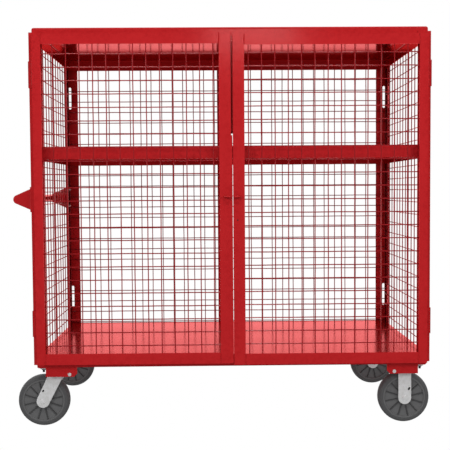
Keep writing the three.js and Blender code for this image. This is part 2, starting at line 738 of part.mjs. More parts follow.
// The swivel caster's plate, with its race and its riveted kingpin
function swivelPlate(x, y) {
  const raceBottom = plateBottom - RACE_HEIGHT;
  const headTop = crownBottom - RUNNING;
  const headBottom = headTop - KINGPIN_HEAD;
  return join([
    casterPlate(x, y),
    bar("z", RACE_RADIUS, raceBottom, casterTop - CASTER_PLATE / 2, x, y, AXLE_SIDES),
    bar("z", KINGPIN_RADIUS, headBottom, plateBottom, x, y, AXLE_SIDES),
    bar("z", KINGPIN_HEAD_RADIUS, headBottom, headTop, x, y, PIN_SIDES),
  ]);
}

function swivelFork(x, y) {
  const halfX = FORK_CROWN_LENGTH / 2;
  const crown = block(x - halfX, x + halfX, y - legOuter, y + legOuter, crownBottom, crownTop);
  const bore = bar(
    "z",
    KINGPIN_RADIUS + BORE,
    crownBottom - OVERRUN,
    crownTop + OVERRUN,
    x,
    y,
    AXLE_SIDES,
  );
  return crown.subtract(bore).add(forkLegs(x, x - SWIVEL_TRAIL, y, crownTop));
}

// A wheel with a tread band, a dished web and a hub, turned about its axle. The tread's flats, not
// its corners, lie at the wheel's radius, so that the cart stands on a flat of each wheel.
function wheel(x, y) {
  const halfStep = Math.PI / WHEEL_SIDES;
  const tread = WHEEL_RADIUS / Math.cos(halfStep);
  const halfWidth = WHEEL_WIDTH / 2;
  const halfWeb = WHEEL_WEB / 2;
  const halfHub = HUB_LENGTH / 2;
  const rim = WHEEL_RADIUS - WHEEL_RIM;
  const half = [
    [BUSHING_RADIUS + SEAT, halfHub],
    [HUB_RADIUS, halfHub],
    [HUB_RADIUS, halfWeb],
    [rim - WHEEL_RIM_DRAFT, halfWeb],
    [rim, halfWidth],
    [tread - WHEEL_EDGE, halfWidth],
    [tread, halfWidth - WHEEL_EDGE],
  ];
  const back = half.map(([radius, along]) => new THREE.Vector2(radius, -along));
  const front = half.map(([radius, along]) => new THREE.Vector2(radius, along)).reverse();
  const profile = [...back, ...front, back[0].clone()];
  const geometry = new THREE.LatheGeometry(profile, WHEEL_SIDES, halfStep);
  geometry.translate(x, y, WHEEL_RADIUS);
  return solidOf(geometry);
}

function wheelBushing(x, y) {
  const half = legInner - RUNNING;
  const height = WHEEL_RADIUS;
  const reach = half + OVERRUN;
  const bore = bar("y", AXLE_RADIUS + BORE, y - reach, y + reach, x, height, AXLE_SIDES);
  return bar("y", BUSHING_RADIUS, y - half, y + half, x, height, AXLE_SIDES).subtract(bore);
}

// An axle bolt with a head at its front end and a nut at its rear end
function axleBolt(x, y) {
  const seat = legOuter + SEAT;
  const end = seat + AXLE_HEAD;
  const height = WHEEL_RADIUS;
  return join([
    bar("y", AXLE_RADIUS, y - end + AXLE_HEAD / 2, y + end, x, height, AXLE_SIDES),
    bar("y", AXLE_HEAD_RADIUS, y - end, y - seat, x, height, 6),
    bar("y", AXLE_HEAD_RADIUS, y + seat, y + end - AXLE_HEAD / 4, x, height, 6),
  ]);
}

for (const [end, sy] of [["front", -1], ["rear", 1]])
  for (const [side, sx] of sides) {
    const place = `${end}_${side}`;
    const x = sx * casterX;
    const y = sy * casterY;
    const axleX = sx < 0 ? x - SWIVEL_TRAIL : x;
    addPart(`${place}_caster_mount`, geometryOf(casterMount(sx, sy)), redPaint());
    if (sx < 0) addPart(`${place}_swivel_plate`, geometryOf(swivelPlate(x, y)), zinc());
    const fork = sx < 0 ? swivelFork(x, y) : rigidFork(x, y);
    addPart(`${place}_${sx < 0 ? "swivel" : "rigid"}_fork`, geometryOf(fork), zinc());
    addPart(`${place}_wheel`, geometryOf(wheel(axleX, y)), greyRubber());
    addPart(`${place}_wheel_bushing`, geometryOf(wheelBushing(axleX, y)), bronze());
    addPart(`${place}_axle_bolt`, geometryOf(axleBolt(axleX, y)), zinc());
  }

export default cart;
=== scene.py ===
import math
from collections import namedtuple

import bmesh
import bpy
import numpy as np
from mathutils import Matrix, Vector


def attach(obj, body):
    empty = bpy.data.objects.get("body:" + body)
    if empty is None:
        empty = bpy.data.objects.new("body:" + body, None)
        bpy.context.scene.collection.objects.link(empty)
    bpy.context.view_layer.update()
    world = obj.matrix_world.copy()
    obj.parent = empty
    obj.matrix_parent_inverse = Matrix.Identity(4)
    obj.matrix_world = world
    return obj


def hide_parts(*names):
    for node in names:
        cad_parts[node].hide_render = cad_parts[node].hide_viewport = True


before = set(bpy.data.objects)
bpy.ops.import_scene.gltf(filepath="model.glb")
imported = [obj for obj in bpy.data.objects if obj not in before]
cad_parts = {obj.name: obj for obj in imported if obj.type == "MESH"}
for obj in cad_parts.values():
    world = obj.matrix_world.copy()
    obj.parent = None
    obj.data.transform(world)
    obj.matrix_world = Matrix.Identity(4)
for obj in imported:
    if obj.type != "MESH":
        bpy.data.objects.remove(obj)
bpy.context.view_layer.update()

# A wire-mesh security cart: a cage of red coated steel on four casters, with two doors in front.
# Lengths are in millimetres, from the floor under the middle of the deck pan. Pieces and their
# counterparts on the other side share one loop, where sx is -1 on the left and sy -1 in front.


# Camera: at the photograph's viewing angle, a little left of the middle, looking slightly down and
# to the right. Its place and its focal length were fitted together.
ORIGIN = np.array([35.15, 29.65, 0.0])
FOCAL_PX, FRAME_PX, SENSOR = 777.0, 450.0, 36.0
CAMERA_AT = (-64.7, -3396.2, 933.3)
TILT, YAW, ROLL = math.radians(2.587), math.radians(0.746), math.radians(-0.393)


def metres(points):
    """Millimetres from the pan's middle to metres about the frame's origin."""
    return (np.asarray(points, float) + ORIGIN) / 1000.0


lens = bpy.data.cameras.new("camera")
lens.sensor_width = SENSOR
lens.lens = SENSOR * FOCAL_PX / FRAME_PX
camera = bpy.data.objects.new("camera", lens)
bpy.context.scene.collection.objects.link(camera)
look = Vector((math.sin(YAW) * math.cos(TILT), math.cos(YAW) * math.cos(TILT), -math.sin(TILT)))
right = Vector((math.cos(YAW), -math.sin(YAW), 0))
up = right.cross(look)
turned_right = right * math.cos(ROLL) + up * math.sin(ROLL)
turned_up = up * math.cos(ROLL) - right * math.sin(ROLL)
axes = Matrix((turned_right, turned_up, -look)).transposed().to_4x4()
camera.matrix_world = Matrix.Translation(metres(CAMERA_AT)) @ axes
bpy.context.scene.camera = camera
bpy.context.scene.view_settings.view_transform = "Standard"


# Pans: the deck, the middle shelf and the roof are each one steel sheet with its four sides turned
# down, sprayed in glossy red and baked. Their solids have the true shape, so they only get the
# coat, and the small round that folding and coating leave on every edge.
PAN_LENGTH, PAN_DEPTH, SHEET, PAN_ROUND = 1524.0, 762.0, 2.6, 1.6
DECK_TOP, ROOF_TOP, ROOF_LIP = 291.5, 1559.5, 50.8
ROUNDED_FROM = math.radians(40)
RED, RED_DEEP = (0.53, 0.018, 0.021, 1), (0.50, 0.016, 0.019, 1)
# The second colour here is the film on faces that look up: partly dust, partly painted sheen.
RED_RUBBED, DUST_AND_SHEEN = (0.36, 0.006, 0.009, 1), (0.62, 0.20, 0.19, 1)
RUBBED_SHARE, DUST_DULLS, CLEAR_ROUGHNESS, GLOSS = 0.35, 0.12, 0.12, (0.13, 0.17)
FLAKE_ANGLES, FLAKE_SHARE, FLAKE_TINT = (0.45, 0.85), 0.95, (1.0, 0.36, 0.36, 1)
NOISE_SPAN, GRAIN_SHARE = (0.3, 0.7), 0.18
LEVEL_SPAN, DRIFT_SPAN, DRIFT_FILM = (0.75, 1.0), (0.35, 0.7), (0.7, 1.0)
POINTED_SPAN, BROKEN_SPAN = (0.53, 0.6), (0.45, 0.62)


def group(name, outputs, amount=None):
    """A node group that takes a position and, where one is given, an amount, and puts out values.
    It comes with its input and output nodes."""
    tree = bpy.data.node_groups.new(name, "ShaderNodeTree")
    new_socket = tree.interface.new_socket
    new_socket(name="Position", in_out="INPUT", socket_type="NodeSocketVector")
    if amount is not None:
        socket = new_socket(name="Amount", in_out="INPUT", socket_type="NodeSocketFloat")
        socket.default_value = amount
    for label in outputs:
        new_socket(name=label, in_out="OUTPUT", socket_type="NodeSocketFloat")
    return tree, tree.nodes.new("NodeGroupInput"), tree.nodes.new("NodeGroupOutput")


def node(tree, kind, settings=(), **sockets):
    """A node with its properties set and its sockets filled or linked, by name or, as i0, i1 and
    so on, by number."""
    made = tree.nodes.new(kind)
    for key, value in dict(settings).items():
        setattr(made, key, value)
    for label, value in sockets.items():
        key = int(label[1:]) if label[1:].isdigit() else label.replace("_", " ")
        if isinstance(value, bpy.types.NodeSocket):
            tree.links.new(value, made.inputs[key])
        else:
            made.inputs[key].default_value = value
    return made


def noise(tree, where, scale, detail=3.0, rough=0.5):
    """Fractal noise from 0 to 1 at a scale in cells per metre."""
    made = node(
        tree, "ShaderNodeTexNoise", Vector=where, Scale=scale, Detail=detail, Roughness=rough
    )
    return made.outputs["Fac"]


def maths(tree, operation, a, b):
    """One sum or product of two values."""
    return node(tree, "ShaderNodeMath", {"operation": operation}, i0=a, i1=b).outputs[0]


def spread(tree, value, span, to=(0.0, 1.0)):
    """A value mapped from one range to another, and held at the ends."""
    return node(
        tree,
        "ShaderNodeMapRange",
        Value=value,
        From_Min=span[0],
        From_Max=span[1],
        To_Min=to[0],
        To_Max=to[1],
    ).outputs[0]


def blend(tree, factor, a, b):
    """Two colours mixed by a factor."""
    return node(tree, "ShaderNodeMix", {"data_type": "RGBA"}, i0=factor, i6=a, i7=b).outputs[2]


def material(name, metallic=0.0, clear=0.0, ior=1.5):
    """A material with a Principled shader, and its tree, shader and object-space position."""
    made = bpy.data.materials.new(name)
    made.use_nodes = True
    tree = made.node_tree
    shader = tree.nodes["Principled BSDF"]
    shader.inputs["Metallic"].default_value = metallic
    shader.inputs["Coat Weight"].default_value = clear
    shader.inputs["IOR"].default_value = ior
    position = node(tree, "ShaderNodeTexCoord").outputs["Object"]
    return made, tree, shader, position


def use(tree, effect, **sockets):
    """A shared effect placed in a material."""
    return node(tree, "ShaderNodeGroup", {"node_tree": effect}, **sockets).outputs


def relief(tree, shader, height, distance):
    """Bump on a shader's normal, with a height of a given distance in metres."""
    bump = node(tree, "ShaderNodeBump", Height=height, Distance=distance)
    tree.links.new(bump.outputs["Normal"], shader.inputs["Normal"])


# Orange peel: the slow ripple of a sprayed and baked coat, with fine grain on top.
peel, peel_in, peel_out = group("orange_peel", ["Height", "Cloud"])
where = peel_in.outputs["Position"]
ripple = noise(peel, where, scale=420.0, detail=2.0)
grain = maths(peel, "MULTIPLY", noise(peel, where, scale=2600.0, detail=2.0), GRAIN_SHARE)
peel.links.new(maths(peel, "ADD", ripple, grain), peel_out.inputs["Height"])
peel.links.new(noise(peel, where, scale=5.5, detail=4.0, rough=0.6), peel_out.inputs["Cloud"])

# Settled dust and painted sheen: a pale red film on faces that look up, thickest in slow drifts. It
# is partly dust and partly painted light, a lighter red that stands in for the light and
# reflections the upward faces catch.
dust_and_sheen, dust_and_sheen_in, dust_and_sheen_out = group("settled_dust_and_painted_sheen", ["Film"], amount=1.0)
normal = node(dust_and_sheen, "ShaderNodeNewGeometry").outputs["Normal"]
facing = node(dust_and_sheen, "ShaderNodeSeparateXYZ", Vector=normal).outputs["Z"]
level = spread(dust_and_sheen, facing, LEVEL_SPAN)
drift = noise(dust_and_sheen, dust_and_sheen_in.outputs["Position"], scale=9.0, detail=5.0, rough=0.62)
dust_and_sheen_film = maths(dust_and_sheen, "MULTIPLY", level, spread(dust_and_sheen, drift, DRIFT_SPAN, DRIFT_FILM))
dust_and_sheen_film = maths(dust_and_sheen, "MULTIPLY", dust_and_sheen_film, dust_and_sheen_in.outputs["Amount"])
dust_and_sheen.links.new(dust_and_sheen_film, dust_and_sheen_out.inputs["Film"])

# Edge wear: pointiness picks the convex edges, and noise breaks them up.
wear, wear_in, wear_out = group("edge_wear", ["Mask"], amount=1.0)
pointed = spread(wear, node(wear, "ShaderNodeNewGeometry").outputs["Pointiness"], POINTED_SPAN)
broken = noise(wear, wear_in.outputs["Position"], scale=60.0, detail=5.0, rough=0.7)
picked = maths(wear, "MULTIPLY", pointed, spread(wear, broken, BROKEN_SPAN))
picked = maths(wear, "MULTIPLY", picked, wear_in.outputs["Amount"])
wear.links.new(picked, wear_out.inputs["Mask"])


def powder_coat(name, pale, deep, peel_depth, dust_and_sheen_share, clear, ior):
    """Glossy red with a slow change of tone, orange peel, a pale film on faces that look up, partly
    dust and partly painted sheen, and darker rubbed edges. At grazing angles it mirrors red, as the
    coat's fine flakes do."""
    made, tree, shader, position = material(name, clear=clear, ior=ior)
    facing = node(tree, "ShaderNodeLayerWeight", Blend=0.5).outputs["Facing"]
    flakes = spread(tree, facing, FLAKE_ANGLES, (0.0, FLAKE_SHARE))
    tree.links.new(flakes, shader.inputs["Metallic"])
    shader.inputs["Specular Tint"].default_value = FLAKE_TINT
    shader.inputs["Coat Roughness"].default_value = CLEAR_ROUGHNESS
    ripple = use(tree, peel, Position=position)
    dust_and_sheen_film = use(tree, dust_and_sheen, Position=position, Amount=dust_and_sheen_share)["Film"]
    rubbed = use(tree, wear, Position=position, Amount=RUBBED_SHARE)["Mask"]
    tone = blend(tree, spread(tree, ripple["Cloud"], NOISE_SPAN), deep, pale)
    # The pale film mixed in here is partly dust and partly painted sheen on the faces that look up.
    dust_and_sheen_colour = blend(tree, dust_and_sheen_film, blend(tree, rubbed, tone, RED_RUBBED), DUST_AND_SHEEN)
    tree.links.new(dust_and_sheen_colour, shader.inputs["Base Color"])
    gloss = spread(tree, ripple["Cloud"], NOISE_SPAN, GLOSS)
    dulled = maths(tree, "ADD", gloss, maths(tree, "MULTIPLY", dust_and_sheen_film, DUST_DULLS))
    tree.links.new(dulled, shader.inputs["Roughness"])
    relief(tree, shader, ripple["Height"], peel_depth)
    return made


coat = powder_coat(
    "red_powder_coat", RED, RED_DEEP, peel_depth=0.000003, dust_and_sheen_share=0.2, clear=0.03, ior=1.3
)


def coated(name, rounding):
    """The red coat on a node of formed steel, and a small round on each of its edges."""
    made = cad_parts[name]
    made.data.materials.clear()
    made.data.materials.append(coat)
    bevel = made.modifiers.new("edge_round", "BEVEL")
    bevel.width, bevel.segments = rounding / 1000, 2
    bevel.limit_method, bevel.angle_limit = "ANGLE", ROUNDED_FROM
    bevel.harden_normals = True


for name in ("deck_pan", "middle_shelf", "roof_pan"):
    coated(name, PAN_ROUND)


# Posts: angle iron at the four corners, slotted beside each hinge, and a flat upright behind the
# middle of the shelf. They are welded to the pans' lips and coated with them.
SIDES = {"left": -1, "right": 1}
ENDS = {"front": -1, "rear": 1}
POST_SIDE, POST_FRONT, POST_REAR, POST_WALL, POST_ROUND = 773.3, -384.5, 392.3, 3.2, 0.6
UPRIGHT_ROUND = 0.7
coated("rear_centre_upright", UPRIGHT_ROUND)
for end in ENDS:
    for side in SIDES:
        coated(f"{end}_{side}_post", POST_ROUND)


# Caster mounts: channels of thicker steel, welded under the corners of the deck and coated with
# it. Each has a skirt behind the pan's lip.
MOUNT_LENGTH, MOUNT_WALL, MOUNT_ROUND = 151.0, 4.8, 0.6
for end in ENDS:
    for side in SIDES:
        coated(f"{end}_{side}_caster_mount", MOUNT_ROUND)


# Door frames: mitred angle iron, welded at the corners and coated. The right one carries a flat
# stop strip behind the gap between the doors.
DOOR_FRONT, DOOR_EDGE, DOOR_WALL, FRAME_ROUND = -423.6, 754.0, 3.2, 0.7
DOOR_BOTTOM, DOOR_TOP, DOOR_RISE = 261.0, 1527.0, {-1: 2.5, 1: -2.5}
MEETING = {-1: -4.6, 1: 9.8}
coated("door_stop", FRAME_ROUND)
for side in SIDES:
    coated(f"{side}_door_frame", FRAME_ROUND)


# Mesh of the cage: drawn wires in two crossing layers, welded where they cross and coated. The
# sheets are welded to the outside of the pans' lips, and the two rear ones meet at the upright.
# Here as elsewhere, pieces that lie against each other are kept SEATED apart.
WIRE_RADIUS, MESH_PITCH, WIRE_SIDES, WIRE_STEP = 2.15, 50.8, 10, 24.0
LAYERS = (2.25, 5.25)
STRAY, STRAY_LENGTH, EDGE_GAP = 0.3, 190.0, 0.1
DOT_RADIUS, DOT_RISE, DOT_SIDES, DOT_ANGLES = 2.1, 1.9, 8, (0.35, 0.9, 1.57, 2.24, 2.79)
SEATED, LAP = 0.3, 28.0
SHEET_HEIGHTS = (DECK_TOP - LAP, ROOF_TOP - ROOF_LIP + LAP)
END_UPRIGHT, END_LEVEL, REAR_LEVEL = 25.4, 319.5, 294.3
SEAM, SEAM_HALF, REAR_END = -19.0, 0.15, PAN_LENGTH / 2 + 7.8
REAR_INNER = PAN_DEPTH / 2 + SEATED
# The wires carry the same red coat as the frames but get a darker red. This is painted shade, as
# for wires that stand against the light behind the cart.
WIRE_RED_PAINTED_SHADE, WIRE_DEEP_PAINTED_SHADE = (0.34, 0.012, 0.016, 1), (0.29, 0.010, 0.013, 1)
wire_coat_painted_shade = powder_coat(
    "red_powder_coat_on_wire_painted_shade",
    WIRE_RED_PAINTED_SHADE,
    WIRE_DEEP_PAINTED_SHADE,
    peel_depth=0.000008,
    dust_and_sheen_share=0.0,
    clear=0.4,
    ior=1.5,
)


def spot(x, y, z):
    """Points from coordinates that are each a number or an array."""
    return np.stack(np.broadcast_arrays(x, y, z), -1).astype(float)


def loft(rings, ends="cap"):
    """Quads between neighbouring rings of equal point counts. The first and last ring get a flat
    cap each, or, with ends="join", the last ring joins the first."""
    rings = np.asarray(rings, float)
    count, around = rings.shape[:2]
    index = np.arange(count * around).reshape(count, around)
    upper = np.roll(index, -1, 0) if ends == "join" else index[1:]
    lower = index if ends == "join" else index[:-1]
    quads = np.stack([lower, np.roll(lower, -1, 1), np.roll(upper, -1, 1), upper], -1)
    faces = quads.reshape(-1, 4).tolist()
    if ends == "cap":
        faces += [index[0][::-1].tolist(), index[-1].tolist()]
    return rings.reshape(-1, 3), faces


def spokes(axis, count):
    """Unit vectors u cos a + v sin a at equal angles a, where u and v are square to an axis."""
    axis = np.asarray(axis, float) / np.linalg.norm(axis)
    helper = np.array([0.0, 0.0, 1.0]) if abs(axis[2]) < 0.9 else np.array([1.0, 0.0, 0.0])
    first = np.cross(helper, axis)
    first /= np.linalg.norm(first)
    angle = np.arange(count)[:, None] * 2 * math.pi / count
    return np.cos(angle) * first + np.sin(angle) * np.cross(axis, first)


def rod(points, radii, sides):
    """A round bar: at each point p of a path, the ring p + r x spoke in the plane square to the
    path's whole direction, with its own radius r, and a flat cap at each end."""
    points = np.asarray(points, float)
    radii = np.broadcast_to(np.asarray(radii, float), len(points))
    ring = spokes(points[-1] - points[0], sides)
    return loft(points[:, None, :] + radii[:, None, None] * ring[None])


def solid(name, shells, materials, body, stands_for=(), sharp=35.0):
    """One piece of closed shells, each (points, faces) or (points, faces, material index), with
    its faces turned outwards, smooth apart from edges sharper than an angle, riding on a body."""
    points, faces, marks, start = [], [], [], 0
    for shell in shells:
        points.append(shell[0])
        faces += [[i + start for i in face] for face in shell[1]]
        marks += [shell[2] if len(shell) > 2 else 0] * len(shell[1])
        start += len(shell[0])
    data = bpy.data.meshes.new(name)
    data.from_pydata(metres(np.concatenate(points)).tolist(), [], faces)
    data.polygons.foreach_set("material_index", marks)
    work = bmesh.new()
    work.from_mesh(data)
    bmesh.ops.recalc_face_normals(work, faces=work.faces)
    work.to_mesh(data)
    work.free()
    data.shade_smooth()
    data.set_sharp_from_angle(angle=math.radians(sharp))
    for finish in materials:
        data.materials.append(finish)
    made = bpy.data.objects.new(name, data)
    bpy.context.scene.collection.objects.link(made)
    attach(made, body)
    if stands_for:
        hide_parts(*stands_for)


def red_piece(name, shells, body, stands_for=()):
    """A piece in the red coat."""
    solid(name, shells, [coat], body, stands_for)


def wires(span, through, ends, layer, place, seed):
    """Straight wires at the stations through + n x pitch inside a span, and one along each edge.
    Each runs from ends[0] to ends[1] and strays sideways by
    STRAY x sin(2 pi t / STRAY_LENGTH + its own phase), as drawn wire does. Edge wires run true."""
    low, high = span[0] + 2 * WIRE_RADIUS, span[1] - 2 * WIRE_RADIUS
    first = math.ceil((low - through) / MESH_PITCH + EDGE_GAP)
    last = math.floor((high - through) / MESH_PITCH - EDGE_GAP)
    inner = [through + n * MESH_PITCH for n in range(first, last + 1)]
    stations = [span[0] + WIRE_RADIUS, *inner, span[1] - WIRE_RADIUS]
    along = np.linspace(*ends, max(2, int((ends[1] - ends[0]) / WIRE_STEP)))
    phases = np.random.default_rng(seed).uniform(0, 2 * math.pi, len(stations))
    made = []
    for station, phase in zip(stations, phases):
        wave = STRAY * np.sin(along * 2 * math.pi / STRAY_LENGTH + phase)
        stray = wave if station in inner else 0.0
        made.append(rod(place(station + stray, along, layer), WIRE_RADIUS, WIRE_SIDES))
    return stations, made


def weld_dots(points, facing):
    """A flattened bead at each point: rings at DOT_RISE cos v along the sheet's normal, of radius
    DOT_RADIUS sin v, for angles v from nearly 0 to nearly pi."""
    v = np.array(DOT_ANGLES)[:, None, None]
    rise = DOT_RISE * np.cos(v) * np.asarray(facing, float)
    dot = rise + DOT_RADIUS * np.sin(v) * spokes(facing, DOT_SIDES)
    return [loft(point + dot) for point in points]


def mesh_sheet(name, u_span, z_span, through, place, facing, body, seed):
    """A sheet of upright wires in one layer and level wires in the other, with a bead at each
    crossing. place(u, z, w) gives points of the sheet at depth w from its inner face."""
    uprights, shells = wires(u_span, through[0], z_span, LAYERS[0], place, seed)

    def level_place(z, u, w):
        """The same points, for wires that are stationed by height."""
        return place(u, z, w)

    levels, level_wires = wires(z_span, through[1], u_span, LAYERS[1], level_place, seed + 1)
    u, z = np.meshgrid(uprights, levels, indexing="ij")
    crossings = place(u.ravel(), z.ravel(), sum(LAYERS) / 2)
    shells += level_wires + weld_dots(crossings, facing)
    solid(name + "_wires", shells, [wire_coat_painted_shade], body, [name])


for side, sx in SIDES.items():
    mesh_sheet(
        f"{side}_side_mesh",
        (-PAN_DEPTH / 2, PAN_DEPTH / 2),
        SHEET_HEIGHTS,
        (END_UPRIGHT, END_LEVEL),
        lambda u, z, w: spot(sx * (PAN_LENGTH / 2 + SEATED + w), u, z),
        (1, 0, 0),
        "cage",
        seed=10 + sx,
    )
for side, span, through in (
    ("left", (-REAR_END, SEAM - SEAM_HALF), -63.3),
    ("right", (SEAM + SEAM_HALF, REAR_END), 61.7),
):
    mesh_sheet(
        f"rear_{side}_mesh",
        span,
        SHEET_HEIGHTS,
        (through, REAR_LEVEL),
        lambda u, z, w: spot(u, REAR_INNER + w, z),
        (0, 1, 0),
        "cage",
        seed=30 + len(side),
    )


# Mesh of the doors: the same welded wire, set inside each frame's angle and welded to it. The
# wires of the two doors don't line up, as each sheet was cut from the roll where it came.
DOOR_UPRIGHT, DOOR_LEVEL = {-1: -67.9, 1: 66.4}, {-1: 335.7, 1: 338.1}
INSIDE = DOOR_WALL + SEATED
for side, sx in SIDES.items():
    mesh_sheet(
        f"{side}_door_mesh",
        sorted((sx * (DOOR_EDGE - INSIDE), MEETING[sx] + sx * INSIDE)),
        (DOOR_BOTTOM + DOOR_RISE[sx] + INSIDE, DOOR_TOP + DOOR_RISE[sx] - INSIDE),
        (DOOR_UPRIGHT[sx], DOOR_LEVEL[sx]),
        lambda u, z, w: spot(u, DOOR_FRONT + INSIDE + w, z),
        (0, 1, 0),
        f"{side}_door",
        seed=50 + sx,
    )


# Hinges: four steel butt hinges. The frame leaf wraps the post's corner, the door leaf lies along
# the door's outer leg, both are welded on and coated, and a plain steel pin runs through them.
HINGE_X, HINGE_Y, HINGE_HEIGHT, LEAF = 759.5, -388.0, 101.6, 2.5
FRAME_LEAF_REACH, DOOR_LEAF_REACH = 32.0, 28.0
KNUCKLE, KNUCKLE_BORE, KNUCKLE_GAP, KNUCKLE_CLEAR, KNUCKLE_ROOT = 5.2, 2.5, 0.25, 0.5, 2.6
PIN_FOOT, PIN_HEAD = [(0.0, 2.1), (0.4, 2.4)], [(0.0, 2.4), (0.05, 3.2), (1.2, 3.1), (2.0, 1.6)]
HINGE_MIDDLES = {"lower": 418.0, "upper": 1379.0}
SUNK, ROOT_LAP = 0.05, 1.0
STEEL_DARK, STEEL_PALE = (0.035, 0.034, 0.035, 1), (0.09, 0.088, 0.09, 1)

# Drawn grain: fine streaks along one axis and slow mottling, as drawing and plating leave them.
streaks, streaks_in, streaks_out = group("drawn_grain", ["Streak", "Mottle"])
where = streaks_in.outputs["Position"]
drawn_out = node(streaks, "ShaderNodeMapping", Vector=where, Scale=(900.0, 900.0, 60.0))
streak = noise(streaks, drawn_out.outputs[0], scale=1.0)
streaks.links.new(streak, streaks_out.inputs["Streak"])
mottle = noise(streaks, where, scale=70.0, detail=4.0, rough=0.6)
streaks.links.new(mottle, streaks_out.inputs["Mottle"])


def bare_metal(name, dark, pale, span, dull, metallic, grain_depth):
    """Metal whose colour is mottled between two tones over a span of the noise, and whose streaks
    change its roughness and stand a little proud."""
    made, tree, shader, position = material(name, metallic=metallic)
    drawn = use(tree, streaks, Position=position)
    factor = spread(tree, drawn["Mottle"], span)
    tree.links.new(blend(tree, factor, dark, pale), shader.inputs["Base Color"])
    tree.links.new(spread(tree, drawn["Streak"], NOISE_SPAN, dull), shader.inputs["Roughness"])
    relief(tree, shader, drawn["Streak"], grain_depth)
    return made


steel = bare_metal(
    "oiled_dark_steel", STEEL_DARK, STEEL_PALE, (0.0, 1.0), (0.35, 0.55), 1.0, 0.00002
)


def corner_cut(low, high, cut):
    """The eight corners of a rectangle whose own corners are cut at 45 degrees."""
    (x0, y0), (x1, y1) = low, high
    return np.array(
        [
            (x0 + cut, y0), (x1 - cut, y0), (x1, y0 + cut), (x1, y1 - cut),
            (x1 - cut, y1), (x0 + cut, y1), (x0, y1 - cut), (x0, y0 + cut),
        ]
    )


def block(low, high, cut=0.5):
    """A bar of rectangular section from one corner to the opposite one, all its edges eased: the
    section is drawn in by the cut at both ends and full between them."""
    low, high = np.minimum(low, high), np.maximum(low, high)
    outer = corner_cut(low[:2], high[:2], cut)
    inner = corner_cut(low[:2] + cut, high[:2] - cut, cut / 2)
    heights = (low[2], low[2] + cut, high[2] - cut, high[2])
    return loft([spot(*ring.T, z) for ring, z in zip((inner, outer, outer, inner), heights)])


def turned(profile, centre, axis, sides=48):
    """A closed profile of (radius, station) pairs turned about an axis: each point goes to
    centre + station x axis + radius x spoke."""
    profile, axis = np.asarray(profile, float), np.asarray(axis, float)
    along = np.asarray(centre, float) + profile[None, :, 1, None] * axis
    return loft(along + profile[None, :, 0, None] * spokes(axis, sides)[:, None, :], "join")


def bar(at, axis, profile, sides):
    """A round bar along an axis through a point, from its (station, radius) pairs."""
    stations, radii = np.array(profile, float).T
    axis = np.asarray(axis, float)
    return rod(np.asarray(at, float) + stations[:, None] * axis, radii, sides)


def collar(inner, outer, low, high, ease=0.4):
    """The profile of a ring with eased outer edges."""
    return [
        (inner, low), (outer - ease, low), (outer, low + ease),
        (outer, high - ease), (outer - ease, high), (inner, high),
    ]


for side, sx in SIDES.items():
    for place, middle in HINGE_MIDDLES.items():
        name = f"{side}_{place}_hinge"
        low, lower, upper, top = (middle + n * HINGE_HEIGHT for n in (-1 / 2, -1 / 6, 1 / 6, 1 / 2))
        x, corner = sx * HINGE_X, sx * (POST_SIDE + SEATED + LEAF)
        face = POST_FRONT - SEATED - LEAF
        wrap = sx * (HINGE_X + KNUCKLE + KNUCKLE_CLEAR)
        shells = [
            block((corner, face + SUNK, low + SUNK), (wrap, face + LEAF, top - SUNK)),
            block(
                (corner - sx * SUNK, face, low), (corner - sx * LEAF, face + FRAME_LEAF_REACH, top)
            ),
        ]
        for z0, z1 in ((low, lower - KNUCKLE_GAP), (upper + KNUCKLE_GAP, top)):
            knuckle = collar(KNUCKLE_BORE, KNUCKLE, z0, z1)
            shells.append(turned(knuckle, (x, HINGE_Y, 0), (0, 0, 1)))
            start, end = corner - sx * ROOT_LAP, x + sx * KNUCKLE_ROOT
            shells.append(block((start, face, z0), (end, face + LEAF + SUNK, z1)))
        red_piece(f"{name}_frame_leaf_dressed", shells, "cage", [f"{name}_frame_leaf"])

        inner, front = sx * (DOOR_EDGE + SEATED), HINGE_Y - DOOR_LEAF_REACH
        z0, z1 = lower + KNUCKLE_GAP, upper - KNUCKLE_GAP
        end = (inner + sx * LEAF, HINGE_Y - KNUCKLE - KNUCKLE_CLEAR, top)
        root = (inner + sx * (LEAF - SUNK), HINGE_Y - KNUCKLE_ROOT, z1)
        shells = [
            block((inner, front, low), end),
            turned(collar(KNUCKLE_BORE, KNUCKLE, z0, z1), (x, HINGE_Y, 0), (0, 0, 1)),
            block((inner + sx * SUNK, front + ROOT_LAP, z0), root),
        ]
        red_piece(f"{name}_door_leaf_dressed", shells, f"{side}_door", [f"{name}_door_leaf"])

        profile = [(low + station, radius) for station, radius in PIN_FOOT]
        profile += [(top + SEATED + station, radius) for station, radius in PIN_HEAD]
        pin = bar((x, HINGE_Y, 0), (0, 0, 1), profile, 32)
        solid(f"{name}_pin_dressed", [pin], [steel], "cage", [f"{name}_pin"])


# Padlock tabs: a level steel plate with one round corner and a shackle hole, welded to the face
# of each meeting stile, with a bead along its root.
TAB_HEIGHT, TAB_THICKNESS, TAB_WIDTH, TAB_REACH = 907.0, 4.0, 26.0, 28.0
TAB_CORNER, TAB_HOLE, TAB_BEAD, TAB_BEAD_INSET = 16.0, 5.0, 1.3, 1.5
BEAD_SIDES, BEAD_STEP, BEAD_WAVE, BEAD_SINK = 8, 0.8, 3.2, 0.2


